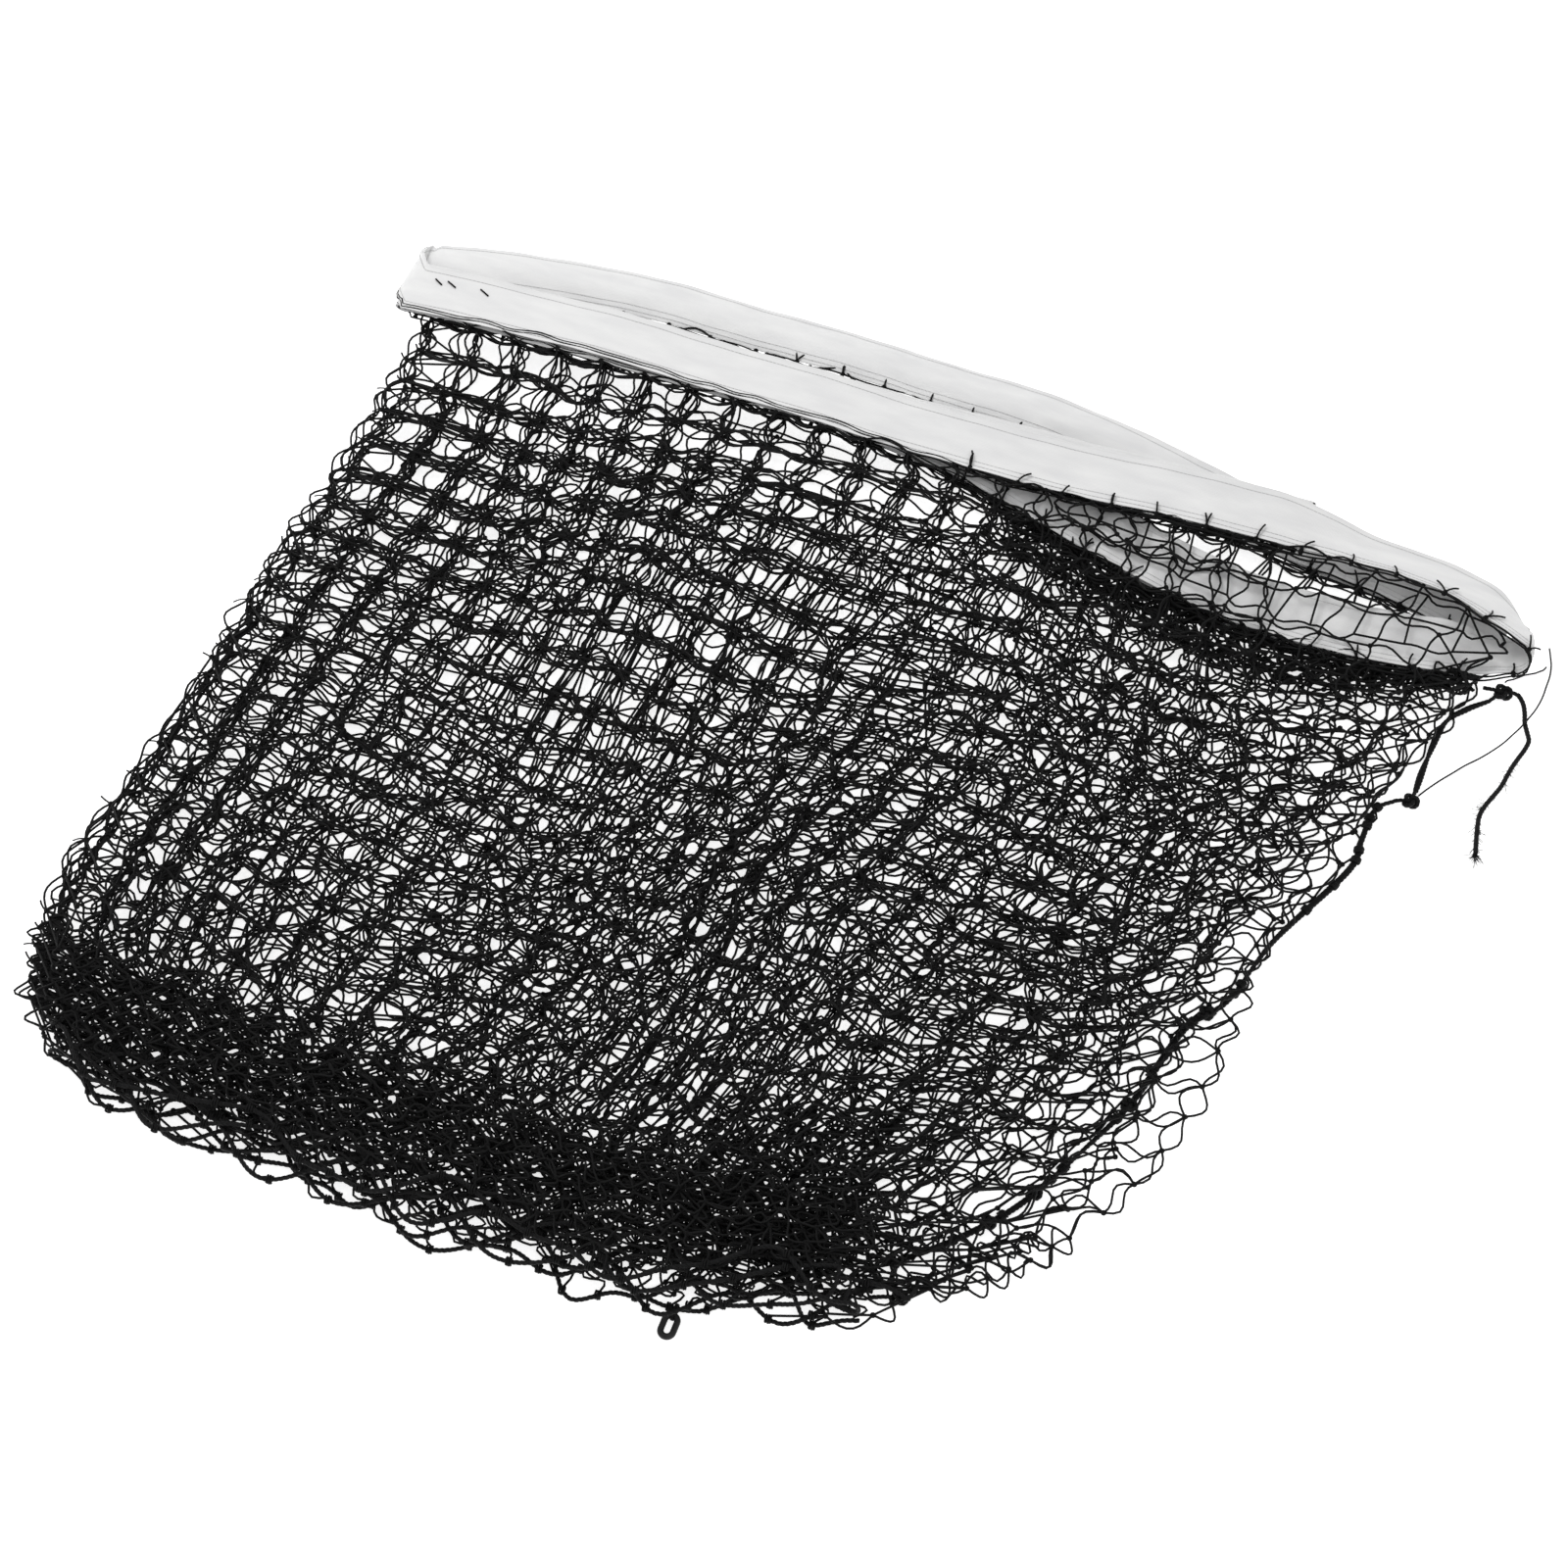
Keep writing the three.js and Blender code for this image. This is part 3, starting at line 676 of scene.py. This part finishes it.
bottom_route = folded_route(bottom_rope_y, bottom_rope_z, ROPE_LEFT, ROPE_RIGHT, 0.006, 7)
replace_with_rope("bottom_rope_laid", bottom_route, "bottom_rope", pitch=0.014)
replace_with_rope("side_rope_upper", spline(SIDE_ROPE_A, 0.003), "side_rope_a", doubled=0.0014)
replace_with_rope("side_rope_lower", spline(SIDE_ROPE_B, 0.003), "side_rope_b", 0.0022, doubled=0.0014)


def knot(name, node, ends, size=1.0):
    """A tight overhand knot with short lengths of the ropes that leave it."""
    low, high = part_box(node)
    centre = np.array((low + high) / 2)
    parts = MeshParts()
    add_overhand(parts, centre, size)
    for end in ends:
        middle = (centre + np.array(end)) / 2 + (0, 0, 0.001)
        add_twisted(parts, spline([centre, middle, end], 0.002), 0.0022, 0.012)
    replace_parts(parts.make(name, rope), node)


def add_overhand(parts, centre, size):
    """Three lobes of rope that pass over and under each other."""
    turn = np.linspace(0, 2 * math.pi, 60)
    reach = 0.0046 * size * (1 + 0.5 * np.cos(3 * turn))
    height = 0.0026 * np.sin(3 * turn)
    line = np.stack([reach * np.cos(turn * 2), reach * np.sin(turn * 2), height], axis=1) + centre
    add_twisted(parts, line, 0.0024, 0.009)


def rope_wraps():
    """Where the net's edge is knotted and whipped to the lower side rope."""
    rng = np.random.default_rng(17)
    line = spline(SIDE_ROPE_B, 0.003)
    tangent = transport_frames(line)[0]
    parts = MeshParts()
    for y in (-0.105, -0.222, -0.337, -0.378):
        add_overhand(parts, line[np.abs(line[:, 1] - y).argmin()] + (0, 0, 0.003), 0.9)
    turn = np.linspace(0, 7 * math.pi, 36)[:, None]
    half_width, half_height, pitch = 0.0042, 0.0034, 0.0008
    for at in np.sort(rng.integers(4, len(line) - 4, len(line) // 12)):
        aside = np.array([-tangent[at][1], tangent[at][0], 0]) * half_width * np.cos(turn)
        along = tangent[at] * pitch * (turn / math.pi - 3.5)
        up = Z_AXIS * (half_height * np.sin(turn) + 0.001)
        parts.tube(line[at] + along + aside + up + rng.normal(0, 0.0002, (len(turn), 3)), TIE_RADIUS, 5)
    parts.make("side_rope_wraps", rope)


rope_wraps()
knot("knot_at_top_corner", "top_corner_knot", [TAIL_ROUTE[0], SIDE_ROPE_A[0], (0.590, 0.343, 0.006)], 1.15)
knot("knot_on_side_rope", "side_knot", [SIDE_ROPE_A[-1], SIDE_ROPE_B[0]])
knot("knot_at_bottom_corner", "bottom_corner_knot", [SIDE_ROPE_B[-1], (ROPE_END, -0.484, SIDE_ROPE_Z)])


# ---- Ring and its lashing ----
def oval_ring():
    """A moulded oval ring, smooth where the CAD ring has flats."""
    cad = np.array([v.co for v in frame["nodes"]["bottom_ring"].data.vertices])
    far = cad[cad[:, 1].argmin()]
    near = cad[cad[:, 1].argmax()]
    stock = RING_STOCK_RADIUS
    bend = RING_BEND_RADIUS
    start = np.array([(cad[:, 0].min() + cad[:, 0].max()) / 2, near[1] - stock, near[2]])
    end = np.array([start[0], far[1] + stock, far[2]])
    along = (end - start) / np.linalg.norm(end - start)
    length = np.linalg.norm(end - start)
    turn = np.linspace(0, 2 * math.pi, 65)[:-1]
    straight = length - 2 * bend
    reach = bend * (1 - np.cos(turn)) + straight * np.where(np.cos(turn) < 0, 1, 0)
    line = start + reach[:, None] * along + np.sin(turn)[:, None] * bend * X_AXIS
    line = respace(np.vstack([line, line[:1]]), 0.0008)[:-1]
    outward = line - (start + end) / 2
    tangent = unit(np.roll(line, -1, axis=0) - np.roll(line, 1, axis=0))
    up = np.cross(X_AXIS, along)
    normal = np.cross(tangent, up)
    normal *= np.sign((normal * outward).sum(axis=1))[:, None]
    wall = line[:, None] + stock * circle(even_angles(16), normal, up)
    parts = MeshParts()
    parts.grid(wall, (0.0008, 0.0009), wrap_rows=True, wrap_columns=True)
    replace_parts(parts.make("oval_ring", plastic, body="ring"), "bottom_ring")


def lashing():
    """Turns of twine wound round the rope and the ring."""
    low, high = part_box("ring_lashing")
    radius = 0.0009
    half_width = (high.x - low.x) / 2 - radius
    half_depth = (high.z - low.z) / 2 - radius
    centre = (low + high) / 2
    span = (high.y - low.y) / 2 - radius - half_depth
    turns = 6
    t = np.linspace(0, turns * 2 * math.pi, turns * 40)
    y = np.cos(t) * half_depth + span * np.clip(np.cos(t) * 3, -1, 1)
    line = np.stack([centre.x - half_width + 2 * half_width * t / t[-1] + 0.0002 * np.sin(2.3 * t),
                     centre.y + y, centre.z + np.sin(t) * half_depth], axis=1)
    parts = MeshParts()
    parts.tube(line, radius, 7)
    body = body_of(frame["nodes"]["ring_lashing"])[0]
    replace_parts(parts.make("twine_lashing", twine, body=body), "ring_lashing")


oval_ring()
lashing()

# ---- The knotted net ----
ROWS = 26
BUNCHED_ROWS = 6  # rows of slack mesh heaped along the bottom rope
BUNCHED_PACE = 0.42  # their height, against a row that lies open
COLUMNS = {1: 24, 2: 19, 3: 19, 4: 24, 5: 23, 6: 23, 7: 24, 8: 24}
ACROSS_SLACK = 1.07
DOWN_SLACK = 1.015
SLACK_LAYERS = (3, 4, 6, 8)  # those that carry a second run of mesh
FOLD_TAIL_LAYERS = (1, 2, 3, 5)  # those with cut ends of twine along their left fold
HEAP_START = 0.84  # of the way down the net; from here on its knots lie heaped
HEAP_FADE = 0.08
HEAP_JITTER = 0.004
KNOT_RADIUS = 0.0017  # of each turn of twine
HEAD_GAP = 0.004  # from the headband's edge to the first row of knots
ROPE_GAP = 0.003
ROPE_END_GAP = 0.006
FOLD_INSET = {1: 0.0, 8: 0.0, 2: 0.005, 7: 0.005, 3: 0.010, 6: 0.010, 4: 0.014, 5: 0.014}
# The top layer's meshes set the lattice that the layers' columns share at the left fold.
TOP_LEFT_X = float(left_edge(0.38))
MESH_WIDTH = (float(right_edge[1](0.41)) - TOP_LEFT_X) / COLUMNS[1]
shared_x = wander(3, 0.55, 0.007)
shared_y = wander(4, 0.45, 0.008)
heap_x = wander(5, 0.09, 0.010)
heap_y = wander(6, 0.09, 0.008)


def coons_patch(top, low, left, right, u, v):
    """A grid over the area between four lines, each an array of (x, y) points."""
    s, t = u[None, :, None], v[:, None, None]
    return ((1 - t) * top[None] + t * low[None] + (1 - s) * left[:, None] + s * right[:, None]
            - (1 - s) * (1 - t) * top[0] - s * (1 - t) * top[-1] - (1 - s) * t * low[0] - s * t * low[-1])


def top_right_x(layer):
    """Where a layer's right edge comes to the headband."""
    return float(right_edge[layer](head_line[layer](0.33)))


def column_places(layer):
    """Where a layer's columns lie, as shares of its width: on the lattice at the left fold, and
    evened out to its own right edge."""
    count = COLUMNS[layer]
    even = np.linspace(0, 1, count + 1)
    aligned = np.arange(count + 1) * MESH_WIDTH / (top_right_x(layer) - TOP_LEFT_X)
    return aligned + (1 - aligned[-1]) * even ** 3


def layer_outline(layer, u, v):
    """The top, low, left and right edges of a layer, with a point for each column or row."""
    top_left = float(left_edge(head_line[layer](HEADBAND_LEFT)))
    top_x = top_left + (top_right_x(layer) - top_left) * u
    top_y = head_line[layer](top_x) - HEAD_GAP
    low_x = ROPE_LEFT + ROPE_END_GAP + (ROPE_RIGHT[layer] - ROPE_LEFT - 2 * ROPE_END_GAP) * u
    low_y = bottom_rope_y(layer, low_x) + ROPE_GAP
    left_y = top_y[0] + (low_y[0] - top_y[0]) * v
    right_y = top_y[-1] + (low_y[-1] - top_y[-1]) * v
    left = np.stack([left_edge(left_y) + FOLD_INSET[layer], left_y], axis=1)
    right = np.stack([right_edge[layer](right_y), right_y], axis=1)
    top = np.stack([top_x, top_y], axis=1)
    low = np.stack([low_x, low_y], axis=1)
    left[0], right[0] = top[0], top[-1]
    left[-1], right[-1] = low[0], low[-1]
    return top, low, left, right


def knot_grid(layer):
    """Places of a layer's knots, as (rows, columns, 3), from the headband down to the bottom rope."""
    rng = np.random.default_rng(100 + layer)
    own_x = wander(20 + layer, 0.26, 0.0026)
    own_y = wander(40 + layer, 0.22, 0.0042)
    u = column_places(layer)
    pace = np.where(np.arange(ROWS - 1) < ROWS - 1 - BUNCHED_ROWS, 1.0, BUNCHED_PACE)
    v = np.concatenate([[0], np.cumsum(pace)]) / pace.sum()
    flat = coons_patch(*layer_outline(layer, u, v), u, v)
    x, y = flat[..., 0], flat[..., 1]
    inside = np.sin(np.clip(v * 1.06, 0, 1) * math.pi)[:, None] ** 0.5
    sideways = inside * np.clip(np.minimum(u, 1 - u) * 8 + 0.25, 0, 1)[None, :]
    shift = rng.uniform(-0.006, 0.006)
    heap = np.clip((v - HEAP_START) / HEAP_FADE, 0, 1)[:, None]
    moved_x = x + (shared_x(x, y) + own_x(x, y) + rng.normal(0, 0.0016, x.shape)) * sideways
    moved_y = y + (shared_y(x, y) + own_y(x, y) + shift + rng.normal(0, 0.0020, y.shape)) * inside
    moved_x += (heap_x(x + 0.1 * layer, y) + rng.normal(0, HEAP_JITTER, x.shape)) * heap * sideways
    moved_y += (heap_y(x + 0.1 * layer, y) + rng.normal(0, HEAP_JITTER, x.shape)) * heap * inside
    z = layer_middle(layer) + rng.uniform(-0.0012, 0.0012, x.shape)
    return np.stack([moved_x, moved_y, z], axis=2)


def hang(a, b, length, rng, droop=0.0):
    """Slack twine between knots a and b, each (n, 3): bowed or S-shaped, lying nearly flat."""
    run = b - a
    distance = np.linalg.norm(run, axis=1)
    spare = np.sqrt(np.maximum(distance * (length - distance), 1e-7))
    mix = rng.uniform(-1, 1, len(a)) * math.pi / 2
    sign = np.where(rng.random(len(a)) < 0.5 + droop, -1, 1)
    bow = sign * (2 / math.pi) * spare * np.cos(mix)
    curl = spare / math.pi * np.sin(mix)
    across = np.stack([-run[:, 1], run[:, 0], np.zeros(len(a))], axis=1) / distance[:, None]
    t = np.linspace(0, 1, 8)
    lift = rng.normal(0, 0.0009, len(a))
    sideways = bow[:, None] * np.sin(t * math.pi) + curl[:, None] * np.sin(t * 2 * math.pi)
    line = a[:, None] + run[:, None] * t[:, None] + across[:, None] * sideways[..., None]
    line[..., 2] += lift[:, None] * np.sin(t * math.pi)
    return line


def add_knots(parts, places, rng, size=1.0):
    """A sheet bend at each place: two short turns of twine that cross."""
    turn = np.arange(9) * 2 * math.pi / 8
    for heading in (0.5, 2.1):
        spin = rng.uniform(-0.5, 0.5, len(places)) + heading
        lean = rng.uniform(0.5, 1.1, len(places))
        e1 = np.stack([np.cos(spin), np.sin(spin), np.zeros(len(places))], axis=1)
        e2 = np.stack([-np.sin(spin) * np.cos(lean), np.cos(spin) * np.cos(lean), np.sin(lean)], axis=1)
        loops = places[:, None] + KNOT_RADIUS * size * circle(turn, e1, e2)
        parts.tubes(loops, TWINE_RADIUS * 0.95 * size, 4)


grids = {layer: knot_grid(layer) for layer in HEAD_LINES}
# The layers on both sides of a fold share its knots, their first or their last column.
FOLDS = [(8, 1, 0), (2, 7, 0), (6, 3, 0), (4, 5, 0), (1, 4, -1), (3, 2, -1), (5, 6, -1)]
for first, second, column in FOLDS:
    shared = (grids[first][:, column] + grids[second][:, column]) / 2
    grids[first][:, column] = shared
    grids[second][:, column] = shared


def add_rope_ties(parts, layer, places, rng):
    """Where each of the last meshes is tied round the bottom rope: a few turns side by side."""
    turn = np.linspace(0, 5 * math.pi, 22)
    half_width, half_height, pitch = 0.0036, 0.0032, 0.0011
    for at in np.clip(places[1:-1, 0], ROPE_LEFT + 0.01, ROPE_RIGHT[layer] - 0.01):
        line = np.stack([at + pitch * (turn / math.pi - 2.5) + rng.normal(0, 0.0002, len(turn)),
                         bottom_rope_y(layer, at) + half_width * np.cos(turn),
                         bottom_rope_z(layer, at) + half_height * np.sin(turn)], axis=1)
        line[:, 2] = np.maximum(line[:, 2], TIE_RADIUS + 0.0001)
        parts.tube(line, TIE_RADIUS, 5)


def add_fold_tails(parts, places, rng):
    """Short cut ends of twine that stand out from some of the knots on a fold."""
    t = np.linspace(0, 1, 5)[:, None]
    for place in places[rng.random(len(places)) < 0.55]:
        reach = rng.uniform(0.006, 0.014)
        bend = rng.uniform(-0.9, 0.9)
        parts.tube(place + reach * np.hstack([-t, bend * t * t + 0.3 * t, -0.2 * t]), TWINE_RADIUS * 0.8, 4)


def add_mesh(parts, knots, rng):
    """Twine between the knots of a (rows, columns, 3) grid, and the knots, but for the last row's."""
    across = hang(knots[:-1, :-1].reshape(-1, 3), knots[:-1, 1:].reshape(-1, 3), MESH_SIDE * ACROSS_SLACK,
                  rng, 0.15)
    down = hang(knots[:-1].reshape(-1, 3), knots[1:].reshape(-1, 3), MESH_SIDE * DOWN_SLACK, rng)
    lines = np.concatenate([across, down])
    lines[..., 2] = np.clip(lines[..., 2], TWINE_RADIUS + 0.0003, cad_high.z)
    parts.tubes(lines, TWINE_RADIUS)
    add_knots(parts, knots[:-1].reshape(-1, 3), rng)


def slack_run(layer):
    """Mesh of the same layer that has slipped over itself: its columns a part of a mesh aside."""
    rng = np.random.default_rng(300 + layer)
    knots = grids[layer]
    parts = MeshParts()
    aside, down = rng.uniform(0.10, 0.24, 2)
    run = knots[:, :-1] * (1 - aside) + knots[:, 1:] * aside
    run = run[2:-2] * (1 - down) + run[3:-1] * down
    add_mesh(parts, run + rng.normal(0, 0.0030, run.shape) * (1, 1, 0.15), rng)
    parts.make(f"net_{layer}_slack", twine)


def net_layer(layer):
    """One layer of the net, with its ties to the bottom rope."""
    rng = np.random.default_rng(200 + layer)
    knots = grids[layer]
    parts = MeshParts()
    add_mesh(parts, knots, rng)
    add_rope_ties(parts, layer, knots[-1], rng)
    if layer in FOLD_TAIL_LAYERS:
        add_fold_tails(parts, knots[1:-3, 0], rng)
    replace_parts(parts.make(f"net_{layer}", twine), f"net_layer_{layer}")


for layer in range(1, LAYERS + 1):
    net_layer(layer)
for layer in SLACK_LAYERS:
    slack_run(layer)


# ---- Headband ----
BAND_STEP = 0.005
FOLD_STEPS = 9
# The lowest strip bulges across its width where nothing lies on it, up to x = ARCH_END.
ARCH_HEIGHT = 0.010
ARCH_NARROWING = 0.14
ARCH_END = 0.25
# Near the right fold the tape's upper edge is drawn in, by NOSE_DRAW along x and y.
NOSE_START = 0.555
NOSE_DRAW = (0.017, 0.012)
# Left of TUCK_END the lacing is tucked under the tape, in all but the two lowest strips.
TUCK_END = 0.08
FADE = 0.12  # over which the arch and the tuck come and go
FIRST_TAIL_X = -0.22  # left of here no ends of the lacing stand out
TIE_TAIL = (0.010, 0.019)  # their least and greatest length
SEAMS = (0.004, 0.0095, TAPE_WIDTH - 2 * TUNNEL_RADIUS - 0.0035)  # rows of stitches, across the tape
STITCH_LENGTH = 0.0042
MARKS_X = (-0.545, -0.528, -0.492)
crease = wander(61, 0.16, 0.0008)
ripple = wander(62, 0.045, 0.00035)
# Where a stretch of the band starts to lean, where it leans most, and by how many degrees.
DROOP = {1: (0.34, 0.47, 26), 4: (0.54, 0.62, 18)}


def tilt(layer, x):
    """How far the band's upper edge leans down at x, in radians."""
    if layer not in DROOP:
        return np.zeros_like(x)
    start, end, most = DROOP[layer]
    t = np.clip((x - start) / (end - start), 0, 1)
    return math.radians(most) * t * t * (3 - 2 * t)


def band_frames():
    """The lower edge of the folded headband, with the directions of its width and its face."""

    def along_band(value_at):
        return folded_route(value_at, lambda layer, x: layer_middle(layer), HEADBAND_LEFT, HEAD_RIGHT,
                            BAND_STEP, FOLD_STEPS)

    route = along_band(lambda layer, x: head_line[layer](x))
    lean = along_band(tilt)[:, 1]
    tangent = unit(np.gradient(route, axis=0))
    flat = np.stack([-tangent[:, 1], tangent[:, 0], np.zeros(len(route))], axis=1)
    flat *= np.where(flat[:, 1] < 0, -1, 1)[:, None]
    flat[np.abs(tangent[:, 2]) > 0.15] = (0, 1, 0)
    window = np.hanning(15) / np.hanning(15).sum()
    smooth = [np.convolve(np.pad(flat[:, k], 7, "edge"), window, "valid") for k in range(3)]
    width = unit(np.stack(smooth, axis=1)) * np.cos(lean)[:, None] - Z_AXIS * np.sin(lean)[:, None]
    return route, width, unit(np.cross(width, tangent))


band_route, band_width, band_face = band_frames()


def on_band(across, above):
    """Points on the headband: across its width from the lower edge, and above its middle surface."""
    across, above = np.broadcast_arrays(np.atleast_1d(across).astype(float), np.atleast_1d(above))
    share = np.clip(across / TAPE_WIDTH, 0, 1)
    lowest = np.abs(band_route[:, 2] - layer_middle(LAYERS)) < LAYER_PITCH / 2
    arched = (lowest * np.clip((ARCH_END - band_route[:, 0]) / FADE, 0, 1))[:, None]
    place = band_route[:, None] + (across * (1 - ARCH_NARROWING * arched))[..., None] * band_width[:, None]
    place[..., 2] += ARCH_HEIGHT * arched * np.sin(share * math.pi)
    sway = crease(place[..., 0], place[..., 1] * 0.6) + ripple(place[..., 0] * 0.7, place[..., 1] * 1.8)
    upward = np.sign(band_face[:, None, 2:])
    place = place + band_face[:, None] * (above[..., None] + sway[..., None] * upward)
    nose = np.clip((place[..., 0] - NOSE_START) / (HEAD_RIGHT[1] - NOSE_START), 0, 1.1) ** 2
    place[..., :2] -= (nose * share ** 2)[..., None] * NOSE_DRAW
    place[..., 2] = np.clip(place[..., 2], 0.0003, cad_high.z + 0.004)
    return place


def tape_section():
    """The doubled tape, open at its lower edge and turned over the head cord: (width, height) points."""
    rise = np.linspace(0, TAPE_WIDTH - 2 * TUNNEL_RADIUS - 0.003, 12)
    centre = TAPE_WIDTH - TUNNEL_RADIUS
    turn = np.linspace(-0.62, 0.62, 11) * math.pi
    back = np.stack([rise, np.full(len(rise), -TAPE_PLY)], axis=1)
    over = np.stack([centre + TUNNEL_RADIUS * np.cos(turn), TUNNEL_RADIUS * np.sin(turn)], axis=1)
    front = np.stack([rise[::-1], np.full(len(rise), TAPE_PLY)], axis=1)
    return np.vstack([back, over, front])


def headband():
    """The tape along the whole folded route, with its seams."""
    section = tape_section()
    parts = MeshParts()
    across = np.linalg.norm(np.diff(section, axis=0), axis=1)
    parts.grid(on_band(section[:, 0], section[:, 1]), (BAND_STEP, across.mean()))
    band = parts.make("headband_tape", tape)
    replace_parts(band, "headband")
    seam_stitches()


def seam_stitches():
    """Rows of short white stitches along the open edge and under the head cord's tunnel."""
    parts = MeshParts()
    outside = TAPE_PLY + 0.00025
    for across in SEAMS:
        for face in (-outside, outside):
            line = respace(on_band(across, face)[:, 0], STITCH_LENGTH)
            run = np.diff(line, axis=0)
            t = np.array([0.1, 0.9])[None, :, None]
            parts.tubes(line[:-1, None] + run[:, None] * t, 0.0003, 4)
    return parts.make("seam_stitches", stitching)


def head_cord():
    """The cord inside the tunnel along the headband's upper edge."""
    parts = MeshParts()
    line = on_band(TAPE_WIDTH - TUNNEL_RADIUS, 0.0)[:, 0]
    add_lobed(parts, line, 0.0014, 0.010, 3)
    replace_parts(parts.make("head_cord_laid", rope), "head_cord")


def lacing():
    """Twine that laces the net to the headband: two runs along the edge, and a tie at each mesh."""
    rng = np.random.default_rng(31)
    parts = MeshParts()
    tuck = np.clip((TUCK_END - band_route[:, 0]) / FADE, 0, 1) * (band_route[:, 2] > layer_middle(7))
    below_edge = on_band(np.array([-0.0020, -0.0075]), 0.0)
    under_tape = on_band(np.array([0.0060, 0.0030]), 0.0)
    runs = below_edge * (1 - tuck)[:, None, None] + under_tape * tuck[:, None, None]
    wobble = wander(71, 0.05, 0.0012)
    for run in (runs[:, 0], runs[:, 1]):
        line = respace(run, 0.006)
        line[:, 1] += wobble(line[:, 0], line[:, 2] * 8)
        parts.tube(line, LACING_RADIUS, 5)
    ties = respace(np.arange(len(band_route))[:, None] * np.array([[BAND_STEP, 0, 0]]), MESH_SIDE)[:, 0]
    at = np.clip((ties / BAND_STEP).astype(int), 0, len(band_route) - 1)
    for i in at[tuck[at] < 0.5]:
        covered = band_route[i, 0] < FIRST_TAIL_X
        width, face = band_width[i], band_face[i] * (1 if band_face[i][2] >= 0 else -1)
        along = np.cross(width, face)
        base = runs[i, 0]
        add_knots(parts, np.array([base + face * 0.0012, base + face * 0.0006 - width * 0.0035]), rng, 0.95)
        for _ in range(0 if covered else rng.integers(1, 3)):
            reach = rng.uniform(*TIE_TAIL)
            slant = rng.normal(0, 0.35)
            bend = rng.normal(0, 0.25)
            t = np.linspace(0, 1, 6)[:, None]
            tail = (base + face * (0.0018 + 0.002 * np.sin(t * 2.4)) + width * reach * t
                    + along * reach * (slant * t + bend * t * t))
            parts.tube(tail, LACING_RADIUS, 5)
    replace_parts(parts.make("lacing_twine", twine), "lacing_cord")


def add_patch(parts, top, low, rows, columns, heights, rng, loose=0.25, slack=1.35):
    """A piece of gathered mesh between two lines, each an array of (x, y) points."""
    along = np.linspace(0, len(top) - 1, columns + 1)
    edge = [np.stack([np.interp(along, np.arange(len(line)), line[:, k]) for k in (0, 1)], axis=1)
            for line in (top, low)]
    t = np.linspace(0, 1, rows + 1)[:, None, None]
    flat = edge[0][None] * (1 - t) + edge[1][None] * t
    pitch = np.array([np.linalg.norm(top[-1] - top[0]) / columns, np.linalg.norm(low[0] - top[0]) / rows])
    flat += rng.normal(0, 1, flat.shape) * pitch * loose
    z = rng.uniform(*heights, flat.shape[:2] + (1,))
    knots = np.concatenate([flat, z], axis=2)
    across = hang(knots[:, :-1].reshape(-1, 3), knots[:, 1:].reshape(-1, 3), pitch[0] * slack, rng)
    down = hang(knots[:-1].reshape(-1, 3), knots[1:].reshape(-1, 3), pitch[1] * (slack + 0.1), rng)
    parts.tubes(np.concatenate([across, down]), TWINE_RADIUS)


# Where spare mesh lies gathered: from and to between the strips and below the lower one, with the
# depth and rows of each patch below it, and the ends of the heap's two edges at the lower right.
BETWEEN_STRIPS = (0.14, 0.60)
BELOW_STRIP = (0.10, 0.575)
BELOW_PATCHES = [(0.030, 6), (0.044, 7), (0.058, 7)]
HEAP_TOP = np.array([(0.080, -0.380), (0.236, -0.318)])
HEAP_LOW = np.array([(0.092, -0.520), (0.222, -0.468)])


def gathered_mesh():
    """Spare mesh, gathered between and below the headband's strips and at the lower right."""
    rng = np.random.default_rng(51)
    parts = MeshParts()
    x = np.linspace(*BETWEEN_STRIPS, 15)
    upper, strip = head_line[1](x), head_line[4](x)
    between = [np.stack([x, upper - 0.005], axis=1), np.stack([x, strip + 0.020], axis=1)]
    add_patch(parts, *between, 2, 10, (layer_middle(3), layer_middle(2)), rng, 0.06, 1.06)
    x = np.linspace(*BELOW_STRIP, 15)
    strip = head_line[4](x)
    for depth, rows in BELOW_PATCHES:
        below = depth * np.clip((0.60 - x) / 0.16, 0.2, 1)
        edges = np.stack([x, strip - 0.004], axis=1), np.stack([x, strip - below], axis=1)
        add_patch(parts, *edges, rows, 17, (0.004, 0.030), rng)
    for shift in (0.0, 0.012):
        add_patch(parts, HEAP_TOP + (0, shift), HEAP_LOW, 8, 8, (0.004, 0.034), rng)
    parts.make("gathered_mesh", twine)


def band_marks():
    """Three small dark stitches on the top strip, near its left fold."""
    parts = MeshParts()
    top_strip = np.abs(band_route[:, 2] - layer_middle(1)) < 0.0001
    surface = on_band(np.array([0.040, 0.043, 0.046]), -TAPE_PLY - 0.0008)
    for place in MARKS_X:
        row = np.where(top_strip, np.abs(band_route[:, 0] - place), 9).argmin()
        ends = np.stack([surface[row - 1, 2], surface[row, 1], surface[row + 1, 0]])
        parts.tube(ends, 0.0009, 5)
    parts.make("band_marks", twine)


headband()
head_cord()
lacing()
gathered_mesh()
band_marks()
